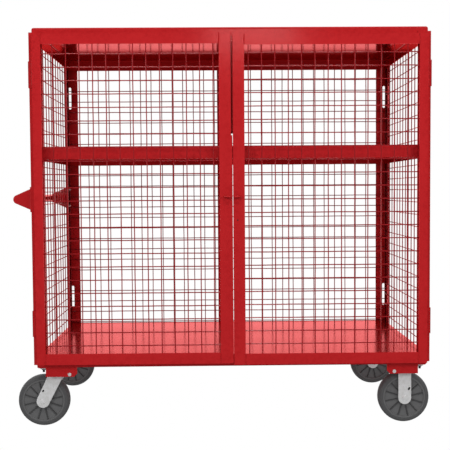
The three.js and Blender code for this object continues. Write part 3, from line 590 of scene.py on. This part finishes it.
def weld(path, radius, seed=0):
    """A weld bead: a bar along a straight or bent path whose radius swells and shrinks by a
    twelfth every BEAD_WAVE, as the puddle was laid, and tapers over its last two rings."""
    path = np.asarray(path, float)
    steps = np.concatenate([[0], np.cumsum(np.linalg.norm(np.diff(path, axis=0), axis=1))])
    along = np.linspace(0, steps[-1], max(6, int(steps[-1] / BEAD_STEP)))
    points = np.column_stack([np.interp(along, steps, path[:, i]) for i in range(3)])
    swell = radius * (1 + np.sin(along * 2 * math.pi / BEAD_WAVE + seed) / 12)
    swell[[0, -1]] *= 0.35
    swell[[1, -2]] *= 0.8
    return rod(points, swell, BEAD_SIDES)


def arc(centre, radius, start, end, count=16):
    """Points on a circle's arc between two angles in degrees."""
    angle = np.radians(np.linspace(start, end, count))
    return np.asarray(centre, float) + radius * np.column_stack([np.cos(angle), np.sin(angle)])


def closed(*pieces, step=3.0):
    """A closed outline through points and arcs, its straight sides cut to steps of a few mm."""
    corners = np.concatenate([np.atleast_2d(np.asarray(piece, float)) for piece in pieces])
    sides = []
    for a, b in zip(corners, np.roll(corners, -1, 0)):
        count = max(1, int(np.linalg.norm(b - a) / step))
        sides.append(a + (b - a) * np.arange(count)[:, None] / count)
    return np.concatenate(sides)


def drawn_in(outline, depth):
    """An outline moved inwards along its own normals."""
    before, after = np.roll(outline, 1, 0), np.roll(outline, -1, 0)
    along = after - before
    along /= np.linalg.norm(along, axis=1)[:, None]
    area = np.sum(outline[:, 0] * after[:, 1] - after[:, 0] * outline[:, 1])
    inward = np.column_stack([-along[:, 1], along[:, 0]]) * np.sign(area)
    return outline + depth * inward


def plate(outline, low, high, to_space=spot, hole=None, ease=0.5):
    """A flat plate with eased edges: the outline drawn in at the lower face, full through the
    thickness, and drawn in at the upper face. With hole=(centre, radius), the faces run in to a
    round hole at the angles of the outline's points; otherwise each is one flat cap.
    to_space(a, b, level) gives points in space, and lays the plate level unless told otherwise."""
    small = drawn_in(outline, ease)
    levels = [(small, low), (outline, low + ease), (outline, high - ease), (small, high)]
    if hole is not None:
        centre, radius = np.asarray(hole[0], float), hole[1]
        spoke = outline - centre
        spoke /= np.linalg.norm(spoke, axis=1)[:, None]
        wall, lip = centre + radius * spoke, centre + (radius + ease) * spoke
        levels = [(wall, low + ease), (lip, low)] + levels + [(lip, high), (wall, high - ease)]
    rings = [to_space(*ring.T, level) for ring, level in levels]
    return loft(rings, "cap" if hole is None else "join")


for side, sx in SIDES.items():
    near, far = MEETING[sx], MEETING[sx] + sx * TAB_WIDTH
    tip, root = DOOR_FRONT - TAB_REACH, DOOR_FRONT - SEATED
    middle = (far - sx * TAB_CORNER, tip + TAB_CORNER)
    corner = arc(middle, TAB_CORNER, -90, 0 if sx > 0 else -180)
    outline = closed((near, root), (near, tip), corner, (far, root))
    hole = (((near + far) / 2, (tip + root) / 2), TAB_HOLE)
    z0, z1 = TAB_HEIGHT - TAB_THICKNESS / 2, TAB_HEIGHT + TAB_THICKNESS / 2
    shells = [plate(outline, z0, z1, hole=hole)]
    for z in (z0, z1):
        ends = (near + sx * TAB_BEAD_INSET, far - sx * TAB_BEAD_INSET)
        shells.append(weld([(x, root - BEAD_SINK, z) for x in ends], TAB_BEAD))
    red_piece(f"{side}_padlock_tab_dressed", shells, f"{side}_door", [f"{side}_padlock_tab"])


# Door edges: each meeting edge is hemmed to a bead, on the left door only below the stop strip.
# Weld seams cross the face where rails meet stiles. A black disc in a hole by the right tab is
# painted shade for the dark inside the hole.
HEM_RADIUS, HEM_REACH, SHORT_HEM, HEM_ROOT, HEM_SET_BACK = 1.3, {-1: 8.9, 1: 3.7}, 4.2, 2.0, 0.2
HEM_TURN, HEM_EASE, RIM = 1141.5, 0.02, 1.0
MEETING_STILE, OUTER_STILE, TOP_RAIL, BOTTOM_RAIL = 41.0, 34.0, 41.0, 43.0
SEAM_BEAD, SEAM_PROUD = 2.2, 0.1
HOLE_SHADE_AT, HOLE_SHADE_PROFILE = (23.0, DOOR_FRONT, 817.0), [(-0.5, 2.6), (1.0, 2.9)]
BLACK, BLACK_DEEP = (0.014, 0.014, 0.015, 1), (0.008, 0.008, 0.009, 1)


def moulded(name, pale, deep, dull):
    """Matt rubber or plastic: two close greys in slow clouds over a fine pitted grain."""
    made, tree, shader, position = material(name, ior=1.45)
    clouds = noise(tree, position, scale=30.0, detail=4.0, rough=0.6)
    tree.links.new(blend(tree, clouds, deep, pale), shader.inputs["Base Color"])
    roughness = spread(tree, clouds, NOISE_SPAN, (dull, dull + 0.12))
    tree.links.new(roughness, shader.inputs["Roughness"])
    relief(tree, shader, noise(tree, position, scale=1500.0), 0.00006)
    return made


# This black is the caster bolts' own black finish, and painted shade where it fills the hole in the
# right door and the fork slots.
black = moulded("blackened_and_painted_hole_shade", BLACK, BLACK_DEEP, dull=0.55)
for side, sx in SIDES.items():
    bottom, top = DOOR_BOTTOM + DOOR_RISE[sx], DOOR_TOP + DOOR_RISE[sx]
    spans = [(bottom + RIM, top - RIM, HEM_REACH[sx])]
    if sx < 0:
        spans = [(bottom + RIM, HEM_TURN, HEM_REACH[sx]), (HEM_TURN, top - RIM, SHORT_HEM)]
    shells = []
    for z0, z1, reach in spans:
        x, y = MEETING[sx] - sx * (reach - HEM_RADIUS), DOOR_FRONT + HEM_SET_BACK + HEM_RADIUS
        shells.append(rod(spot(x, y, np.linspace(z0, z1, 9)), HEM_RADIUS, 20))
        low, high = (x, y - HEM_RADIUS, z0), (MEETING[sx] + sx * HEM_ROOT, y + HEM_RADIUS, z1)
        shells.append(block(low, high, HEM_EASE))
    red_piece(f"{side}_door_rolled_edge", shells, f"{side}_door")
    shells = []
    for x in (MEETING[sx] + sx * MEETING_STILE, sx * (DOOR_EDGE - OUTER_STILE)):
        for z0, z1 in ((bottom + RIM, bottom + BOTTOM_RAIL), (top - TOP_RAIL, top - RIM)):
            shells.append(weld(spot(x, DOOR_FRONT + SEAM_PROUD, [z0, z1]), SEAM_BEAD, seed=z0))
    red_piece(f"{side}_door_corner_welds", shells, f"{side}_door")
# A black disc just proud of the door face: painted shade for the dark inside the hole.
shell = bar(HOLE_SHADE_AT, (0, 1, 0), HOLE_SHADE_PROFILE, 24)
solid("right_door_hole_painted_shade", [shell], [black], "right_door")


# Push handle: two pressed angle brackets with round tips, bolted through the left posts with
# zinc-plated bolts, and a round tube welded between them with a bead round each end.
HANDLE_HEIGHT, HANDLE_REACH, TUBE_RADIUS, TIP_RADIUS = 901.0, 66.5, 16.7, 17.8
TUBE_BEAD, TUBE_BEAD_INSET = 1.15, 0.8
BRACKET_HALF, BRACKET_FLANGE, BRACKET_WALL, BRACKET_EASE = 48.5, 61.0, 4.8, 0.8
BRACKET_INSET = 63.5
BOLT_RISE, BOLT_RADIUS, BOLT_TIP, BOLT_END, BOLT_POINT = 39.0, 4.0, 3.3, 11.5, 0.9
HEAD_RADIUS, HEAD_HEIGHT, NUT_RADIUS, NUT_HEIGHT, WASHER_HEIGHT = 6.9, 5.0, 5.9, 5.5, 0.9
HEX_SIDES, HEX_SEAT, HEX_EASE, HEX_SLOPE, HEX_CROWN = 48, 0.97, 0.3, 0.16, 0.9
BRACKET_INNER = -POST_SIDE - SEATED
HANDLE_X = BRACKET_INNER - HANDLE_REACH
WEB = {-1: POST_FRONT + BRACKET_INSET, 1: POST_REAR - BRACKET_INSET}
ZINC, ZINC_PALE = (0.78, 0.78, 0.77, 1), (0.88, 0.88, 0.89, 1)
zinc = bare_metal("bright_zinc_plate", ZINC, ZINC_PALE, (0.35, 0.65), (0.26, 0.42), 0.3, 0.00001)


def upright(a, b, level):
    """A plate stood on edge, facing front and back: its outline's second coordinate is height."""
    return spot(a, level, b)


def hexagon(centre, axis, radius, low, high, washer=0.0):
    """A hexagon head or nut along an axis from one station to another, its outer corners turned
    off, with a round washer face of a given radius under it. Its radius at an angle a is
    R cos 30 / cos a', where a' runs from -30 to 30 degrees along each side."""
    centre, axis = np.asarray(centre, float), np.asarray(axis, float)
    sixth, angle = math.pi / 3, np.arange(HEX_SIDES) * 2 * math.pi / HEX_SIDES
    flat = radius * math.cos(sixth / 2) / np.cos((angle + sixth / 2) % sixth - sixth / 2)
    round_foot, crown = np.full_like(flat, washer), np.minimum(flat, radius * HEX_CROWN)
    sign = 1 if high > low else -1
    levels = [(flat * HEX_SEAT, low)]
    if washer:
        levels = [(round_foot, low), (round_foot, low + WASHER_HEIGHT * sign)]
    levels += [(flat, low + HEX_EASE * sign), (flat, high - HEX_SLOPE * radius * sign)]
    levels.append((crown, high))
    spoke = spokes(axis, HEX_SIDES)
    return loft([centre + station * axis + size[:, None] * spoke for size, station in levels])


def zinc_piece(name, shells, body, stands_for=(), sharp=35.0):
    """A piece in bright zinc plate."""
    solid(name, shells, [zinc], body, stands_for, sharp)


slant = math.atan2(BRACKET_HALF, HANDLE_REACH)
slant += math.acos(TIP_RADIUS / math.hypot(BRACKET_HALF, HANDLE_REACH))
slant = math.degrees(slant)
web_outline = closed(
    (BRACKET_INNER, HANDLE_HEIGHT - BRACKET_HALF),
    (BRACKET_INNER, HANDLE_HEIGHT + BRACKET_HALF),
    arc((HANDLE_X, HANDLE_HEIGHT), TIP_RADIUS, slant, 360 - slant, 24),
)
for end, sy in ENDS.items():
    web = WEB[sy]
    flange = block(
        (BRACKET_INNER, web, HANDLE_HEIGHT - BRACKET_HALF),
        (BRACKET_INNER - BRACKET_WALL, web + sy * BRACKET_FLANGE, HANDLE_HEIGHT + BRACKET_HALF),
        BRACKET_EASE,
    )
    low, high = sorted((web, web + sy * BRACKET_WALL))
    tip = plate(web_outline, low, high, upright, ease=BRACKET_EASE)
    name = f"{end}_handle_bracket"
    red_piece(name + "_dressed", [flange, tip], "cage", [name])
    for place, rise in (("lower", -BOLT_RISE), ("upper", BOLT_RISE)):
        at = (0, web + sy * BRACKET_FLANGE / 2, HANDLE_HEIGHT + rise)
        head, nut = BRACKET_INNER - BRACKET_WALL - SEATED, POST_WALL + SEATED - POST_SIDE
        profile = [(head, BOLT_RADIUS), (nut + BOLT_END - BOLT_POINT, BOLT_RADIUS)]
        profile.append((nut + BOLT_END, BOLT_TIP))
        shells = [
            hexagon(at, (1, 0, 0), HEAD_RADIUS, head, head - HEAD_HEIGHT, HEAD_RADIUS),
            bar(at, (1, 0, 0), profile, 24),
            hexagon(at, (1, 0, 0), NUT_RADIUS, nut, nut + NUT_HEIGHT),
        ]
        name = f"{end}_{place}_handle_bolt"
        zinc_piece(name + "_dressed", shells, "cage", [name], sharp=30.0)
stretch = np.linspace(WEB[-1] + SEATED, WEB[1] - SEATED, 9)
shells = [rod(spot(HANDLE_X, stretch, HANDLE_HEIGHT), TUBE_RADIUS, 64)]
for end, sy in ENDS.items():
    turn = arc((HANDLE_X, HANDLE_HEIGHT), TUBE_RADIUS - BEAD_SINK, 0, 356, 48)
    shells.append(weld(upright(*turn.T, WEB[sy] - sy * TUBE_BEAD_INSET), TUBE_BEAD, seed=sy))
red_piece("push_handle_tube_dressed", shells, "cage", ["push_handle_tube"])


# Wheels: a hard grey core with ribs on both faces, which carry painted shade, and a softer, darker
# tread moulded round it.
# Those on the left trail behind their swivels, and those on the right stand under their plates.
CASTER_X, CASTER_Y, TRAIL, AXLE_Z = 686.0, 313.0, 64.0, 101.6
WHEEL_RADIUS, RIM_RADIUS, HUB_RADIUS, HUB_HALF, WEB_HALF = 101.6, 84.0, 26.0, 27.5, 19.0
BUSHING_RADIUS, WHEEL_SIDES = 13.0, 128
RIB_RADII, RIB_HALVES = np.array((HUB_RADIUS - 0.5, 50.0, 79.0)), np.array((1.9, 1.5, 1.8))
RIB_COUNT, RIB_TURN, RIB_FOOT, RIB_RISE = 12, 12.0, 0.6, 4.2
TREAD = [
    (RIM_RADIUS, 23.6), (RIM_RADIUS, 24.2), (88.0, 24.4), (93.0, 23.2), (97.0, 20.2), (99.8, 15.6),
    (101.2, 9.5), (WHEEL_RADIUS, 3.0), (WHEEL_RADIUS, 0.0),
]
CORE = [
    (BUSHING_RADIUS + SEATED, HUB_HALF), (HUB_RADIUS - 1, HUB_HALF), (HUB_RADIUS, HUB_HALF - 1),
    (HUB_RADIUS + 1.2, WEB_HALF + 1.2), (HUB_RADIUS + 3, WEB_HALF), (74.0, WEB_HALF),
    (76.5, WEB_HALF + 0.8), (78.0, 23.4), (79.2, 24.2), (81.5, 24.2), (82.6, 23.6),
    (RIM_RADIUS, 23.6),
]
# The ribs are moulded in the core, but get a darker grey than it: painted shade along the ribs.
wheel_greys = [
    moulded("moulded_grey_core", (0.142, 0.142, 0.144, 1), (0.115, 0.115, 0.117, 1), dull=0.48),
    moulded("moulded_grey_tread", (0.096, 0.096, 0.098, 1), (0.074, 0.074, 0.076, 1), dull=0.6),
    moulded("moulded_grey_rib_painted_shade", (0.07, 0.07, 0.071, 1), (0.052, 0.052, 0.053, 1), dull=0.6),
]
Caster = namedtuple("Caster", "name sx sy x y axle fork_body")
CASTERS = []
for end, sy in ENDS.items():
    for side, sx in SIDES.items():
        name, x, y = f"{end}_{side}", sx * CASTER_X, sy * CASTER_Y
        axle = np.array((x - TRAIL if sx < 0 else x, AXLE_Z))
        fork_body = f"{name}_swivel" if sx < 0 else "cage"
        CASTERS.append(Caster(name, sx, sy, x, y, axle, fork_body))


def mirrored(half_profile):
    """A profile closed by its own mirror image about station 0."""
    back = [(radius, -station) for radius, station in reversed(half_profile) if station > 0]
    return list(half_profile) + back


def wheel_shells(centre):
    """A moulded tread round a dished core, and on each face a ring of ribs, each a low bar that
    runs from the hub to the rim at its own multiple of 360 / RIB_COUNT degrees."""
    shells = [
        (*turned(mirrored(CORE), centre, (0, 1, 0), WHEEL_SIDES), 0),
        (*turned(mirrored(TREAD), centre, (0, 1, 0), WHEEL_SIDES), 1),
    ]
    centre, half = np.asarray(centre, float), RIB_HALVES[:, None]
    foot = half + RIB_FOOT
    across = np.concatenate([-foot, foot, half, -half], 1)[:, :, None]
    for face in (-1, 1):
        low, high = face * (WEB_HALF - RIB_FOOT), face * (WEB_HALF + RIB_RISE)
        rise = spot(0.0, [low, low, high, high], 0.0)
        for n in range(RIB_COUNT):
            angle = math.radians(360 / RIB_COUNT * n + RIB_TURN)
            out = np.array((math.cos(angle), 0, math.sin(angle)))
            aside = np.array((-math.sin(angle), 0, math.cos(angle)))
            rings = centre + RIB_RADII[:, None, None] * out + across * aside + rise
            # Material 2 is the darker grey of the painted shade along the ribs.
            shells.append((*loft(rings), 2))
    return shells


for caster in CASTERS:
    name = f"{caster.name}_wheel"
    shells = wheel_shells(upright(*caster.axle, caster.y))
    solid(f"{name}_dressed", shells, wheel_greys, name, [name], sharp=40.0)


# Bushings: plain rings of sintered bronze, pressed into the hubs. They run on the axle bolts, and
# stand out of the hubs on both sides, to keep them off the forks.
AXLE_RADIUS, AXLE_CLEAR, BUSHING_HALF = 6.3, 0.1, 29.5
BRONZE, BRONZE_PALE = (0.30, 0.18, 0.07, 1), (0.46, 0.29, 0.12, 1)
bronze, tree, shader, position = material("sintered_bronze", metallic=1.0)
specks = noise(tree, position, scale=900.0, detail=4.0, rough=0.65)
tree.links.new(blend(tree, specks, BRONZE, BRONZE_PALE), shader.inputs["Base Color"])
tree.links.new(spread(tree, specks, NOISE_SPAN, (0.38, 0.55)), shader.inputs["Roughness"])
relief(tree, shader, specks, 0.00003)
ring = collar(AXLE_RADIUS + AXLE_CLEAR, BUSHING_RADIUS, -BUSHING_HALF, BUSHING_HALF)
for caster in CASTERS:
    wheel = f"{caster.name}_wheel"
    name = f"{wheel}_bushing"
    shell = turned(ring, upright(*caster.axle, caster.y), (0, 1, 0), 64)
    solid(f"{name}_dressed", [shell], [bronze], wheel, [name])


# Forks and plates: pressed steel, bright with zinc. On the left the fork, with its round skirt,
# turns under the plate's race on a riveted kingpin. On the right its legs run up into the plate.
PLATE_BOTTOM, PLATE_TOP, PLATE_HALF, PLATE_CORNER = 235.0, 241.3, np.array((70.0, 55.0)), 9.0
PLATE_TURNS = np.array(((1, 1), (-1, 1), (-1, -1), (1, -1)))
LEG_INNER, LEG_OUTER, LEG_TIP, LEG_LAP, LEG_HALF = 30.0, 35.0, 25.4, 3.0, {-1: 31.0, 1: 25.4}
CROWN_TOP, CROWN_BOTTOM, CROWN_HALF = 228.5, 222.5, 31.0
LEG_EASE, CROWN_EASE, PLATE_EASE, RUNNING_GAP = 1.0, 1.2, 0.7, 0.5
SKIRT = collar(8.2, 41.0, CROWN_TOP - 1, CROWN_TOP, 0.3)
RACE_LOW, RACE_TOP = CROWN_TOP + RUNNING_GAP, PLATE_BOTTOM + SEATED
RACE = [(7.9, RACE_LOW), (33.0, RACE_LOW), (36.0, RACE_LOW + 2), (36.0, RACE_TOP), (7.9, RACE_TOP)]
PIN_SEAT = CROWN_BOTTOM - RUNNING_GAP
KINGPIN = [
    (PIN_SEAT - 5, 10.5), (PIN_SEAT - 4, 12.6), (PIN_SEAT - 0.6, 13.0), (PIN_SEAT, 12.8),
    (PIN_SEAT + 0.02, 8.0), (PLATE_BOTTOM + 1, 8.0),
]


def leg_outline(sx, top):
    """A fork leg seen from the side, about its axle: level at the top, and from the top corners
    along the tangents to a round tip."""
    shift, half, rise = TRAIL if sx < 0 else 0.0, LEG_HALF[sx], top - AXLE_Z

    def tangent(x, turn):
        """The angle on the tip where the tangent from a top corner touches: the corner's own
        angle, turned by the angle whose cosine is the tip's radius over the corner's distance."""
        grip = math.acos(min(1.0, LEG_TIP / math.hypot(x, rise)))
        return math.degrees(math.atan2(rise, x) + turn * grip)

    tip = arc((0, 0), LEG_TIP, tangent(shift + half, -1), tangent(shift - half, 1) - 360, 32)
    return closed((shift - half, rise), (shift + half, rise), tip)


for caster in CASTERS:
    x, y, swivels = caster.x, caster.y, caster.sx < 0
    outline = caster.axle + leg_outline(caster.sx, CROWN_TOP if swivels else PLATE_BOTTOM + LEG_LAP)
    hole, fork = (caster.axle, AXLE_RADIUS + SEATED), []
    for leg in (-1, 1):
        low, high = sorted((y + leg * LEG_INNER, y + leg * LEG_OUTER))
        fork.append(plate(outline, low, high, upright, hole, LEG_EASE))
    corners = [
        arc((x, y) + turn * (PLATE_HALF - PLATE_CORNER), PLATE_CORNER, n * 90, n * 90 + 90, 8)
        for n, turn in enumerate(PLATE_TURNS)
    ]
    top_plate = plate(closed(*corners, step=12.0), PLATE_BOTTOM, PLATE_TOP, ease=PLATE_EASE)
    if swivels:
        name, plate_name = f"{caster.name}_swivel_fork", f"{caster.name}_swivel_plate"
        low = (x - CROWN_HALF, y - LEG_OUTER, CROWN_BOTTOM)
        high = (x + CROWN_HALF, y + LEG_OUTER, CROWN_TOP)
        fork += [block(low, high, CROWN_EASE), turned(SKIRT, (x, y, 0), (0, 0, 1), 64)]
        race = turned(RACE, (x, y, 0), (0, 0, 1), 64)
        kingpin = bar((x, y, 0), (0, 0, 1), KINGPIN, 48)
        zinc_piece(f"{plate_name}_dressed", [top_plate, race, kingpin], "cage", [plate_name])
    else:
        name = f"{caster.name}_rigid_fork"
        fork.append(top_plate)
    zinc_piece(f"{name}_dressed", fork, caster.fork_body, [name])


# Axle bolts: zinc-plated steel, each through both legs of a fork and the bushing between them,
# with a low domed head on both sides.
AXLE_SEAT = LEG_OUTER + SEATED
AXLE_HEAD = [
    (AXLE_SEAT + 2.6, 5.5), (AXLE_SEAT + 2.2, 7.4), (AXLE_SEAT + 0.6, 8.8), (AXLE_SEAT, 9.0),
    (AXLE_SEAT - 0.02, AXLE_RADIUS),
]
profile = [(-station, radius) for station, radius in AXLE_HEAD] + AXLE_HEAD[::-1]
for caster in CASTERS:
    name = f"{caster.name}_axle_bolt"
    shell = bar(upright(*caster.axle, caster.y), (0, 1, 0), profile, 48)
    zinc_piece(f"{name}_dressed", [shell], caster.fork_body, [name])


# Caster bolts: four black steel bolts hold each caster's plate up to its mount. Their domed heads
# lie on the mount's channel, and their nuts and ends are below the plate.
BOLT_PLACES = [(dx, dy) for dx in (-57.0, 57.0) for dy in (-40.0, 40.0)]
CASTER_NUT, CASTER_NUT_ENDS, CASTER_WASHER = 8.2, (-0.1, -5.4), 9.2
CASTER_BOLT_END = [(-14.0, 3.6), (-13.4, 4.4), (-1.0, 4.4)]
CASTER_BOLT_HEAD = [(-0.1, 9.5), (1.2, 9.2), (3.6, 6.4), (4.6, 2.5)]
for caster in CASTERS:
    shells = []
    for dx, dy in BOLT_PLACES:
        under = (caster.x + dx, caster.y + dy, PLATE_BOTTOM)
        above = (caster.x + dx, caster.y + dy, PLATE_TOP + SEATED + MOUNT_WALL)
        shells.append(hexagon(under, (0, 0, 1), CASTER_NUT, *CASTER_NUT_ENDS, CASTER_WASHER))
        shells.append(bar(under, (0, 0, 1), CASTER_BOLT_END, 20))
        shells.append(bar(above, (0, 0, 1), CASTER_BOLT_HEAD, 24))
    solid(f"{caster.name}_caster_bolts", shells, [black], "cage")


# Fork slots: a black disc sits at the slot punched through each fork leg above the axle, just proud
# of the leg's outer face. It is painted shade for the dark of the slot.
SLOT_HALF, SLOT_AT = {-1: 1.5, 1: 3.0}, {-1: (1.5, 42.5), 1: (16.5, 37.0)}
SLOT_LEAN, SLOT_RADIUS, SLOT_SHADE_DEPTH, SLOT_SHADE_EASE = 60.0, 3.6, 1.0, 0.15
lean = math.radians(SLOT_LEAN)
for caster in CASTERS:
    middle = caster.axle + SLOT_AT[caster.sx]
    slope = SLOT_HALF[caster.sx] * np.array((math.cos(lean), math.sin(lean)))
    outline = closed(
        arc(middle + slope, SLOT_RADIUS, SLOT_LEAN - 90, SLOT_LEAN + 90),
        arc(middle - slope, SLOT_RADIUS, SLOT_LEAN + 90, SLOT_LEAN + 270),
    )
    shells = []
    for leg in (-1, 1):
        inner, outer = leg * (LEG_OUTER - SLOT_SHADE_DEPTH), leg * (LEG_OUTER + SEATED)
        low, high = sorted((caster.y + inner, caster.y + outer))
        shells.append(plate(outline, low, high, upright, ease=SLOT_SHADE_EASE))
    solid(f"{caster.name}_fork_plugs", shells, [black], caster.fork_body)


# Skirt rivets: one domed rivet of zinc-plated steel in the skirt of each caster mount, where it
# closes a hole near the mount's inner end.
RIVET_PROFILE = [(-6.2, 4.6), (0.1, 4.6), (0.12, 7.0), (0.9, 6.9), (1.9, 5.4), (2.5, 2.6)]
RIVET_INSET, RIVET_HEIGHT = 29.0, 216.0
RIVET_X = PAN_LENGTH / 2 - SHEET - SEATED - MOUNT_LENGTH + RIVET_INSET
RIVET_Y = PAN_DEPTH / 2 - SHEET - SEATED
for caster in CASTERS:
    at = (caster.sx * RIVET_X, caster.sy * RIVET_Y, RIVET_HEIGHT)
    shell = bar(at, (0, caster.sy, 0), RIVET_PROFILE, 32)
    zinc_piece(f"{caster.name}_skirt_rivet", [shell], "cage")


# Lights: a bright surround behind the cart and a dim one in front, softboxes beside and above the
# camera, and a small card whose reflection lies on the top rails. Lights are placed in metres.
FRONT, BEHIND = 0.05, 1.1
FRONT_MIRRORED, BEHIND_MIRRORED = 0.28, 1.4
TURNOVER = (-0.55, 0.35)
SIDE_AT, SIDE_AIM = np.array((3.2, -4.2, 2.2)), (0, 0, 0.9)


def switch(tree, ray, usual, special):
    """One value for most rays, and another for rays of one kind."""
    made = node(tree, "ShaderNodeMix", {"data_type": "FLOAT"}, i0=ray, i2=usual, i3=special)
    return made.outputs[0]


def softbox(name, at, aim, width, height, power):
    """A rectangular area light at a point, turned to face another point."""
    data = bpy.data.lights.new(name, "AREA")
    data.shape = "RECTANGLE"
    data.size, data.size_y, data.energy = width, height, power
    made = bpy.data.objects.new(name, data)
    bpy.context.scene.collection.objects.link(made)
    made.location = at
    made.rotation_euler = (Vector(aim) - Vector(at)).to_track_quat("-Z", "Y").to_euler()
    return made


world = bpy.data.worlds.new("studio")
world.use_nodes = True
bpy.context.scene.world = world
tree = world.node_tree
background = tree.nodes["Background"]
background.inputs["Color"].default_value = (1, 1, 1, 1)
rays = node(tree, "ShaderNodeLightPath").outputs
direction = node(tree, "ShaderNodeTexCoord").outputs["Generated"]
depth = node(tree, "ShaderNodeSeparateXYZ", Vector=direction).outputs["Y"]
surround = spread(tree, depth, TURNOVER, (FRONT, BEHIND))
in_reflections = spread(tree, depth, TURNOVER, (FRONT_MIRRORED, BEHIND_MIRRORED))
around = switch(tree, rays["Is Glossy Ray"], surround, in_reflections)
seen = switch(tree, rays["Is Camera Ray"], around, 1.0)
tree.links.new(seen, background.inputs["Strength"])
for side, sx in SIDES.items():
    lamp = softbox(f"{side}_softbox", SIDE_AT * (sx, 1, 1), SIDE_AIM, 1.4, 1.6, power=66)
    lamp.visible_glossy = False
softbox("overhead_softbox", (0, -3.6, 4.6), (0, 0, 0.6), 3.0, 1.2, power=60)
softbox("top_card", (0.33, -4.6, 2.5), (0.06, 0, 1.5), 0.8, 0.6, power=13)


# Floor: plain and white. The camera sees it lit evenly, as the photograph's ground is, and it
# throws a soft light up under the cart. Reflections see it darker in front and brighter behind.
UPLIGHT, NEAR_IN_REFLECTIONS, FAR_IN_REFLECTIONS = 0.57, 0.17, 1.4
FLOOR_TURNOVER, FLOOR_HALF = (0.5, 1.5), 30
corners = [(a * FLOOR_HALF, b * FLOOR_HALF, 0) for a, b in ((-1, -1), (1, -1), (1, 1), (-1, 1))]
floor_data = bpy.data.meshes.new("floor")
floor_data.from_pydata(corners, [], [(0, 1, 2, 3)])
floor = bpy.data.objects.new("floor", floor_data)
bpy.context.scene.collection.objects.link(floor)
paint = bpy.data.materials.new("floor_white")
paint.use_nodes = True
tree = paint.node_tree
rays = node(tree, "ShaderNodeLightPath").outputs
place = node(tree, "ShaderNodeTexCoord").outputs["Object"]
depth = node(tree, "ShaderNodeSeparateXYZ", Vector=place).outputs["Y"]
in_reflections = spread(tree, depth, FLOOR_TURNOVER, (NEAR_IN_REFLECTIONS, FAR_IN_REFLECTIONS))
glow = switch(tree, rays["Is Glossy Ray"], UPLIGHT, in_reflections)
shown = switch(tree, rays["Is Camera Ray"], glow, 1.0)
lit = node(tree, "ShaderNodeEmission", Color=(1, 1, 1, 1), Strength=shown)
tree.links.new(lit.outputs[0], tree.nodes["Material Output"].inputs["Surface"])
tree.nodes.remove(tree.nodes["Principled BSDF"])
floor_data.materials.append(paint)
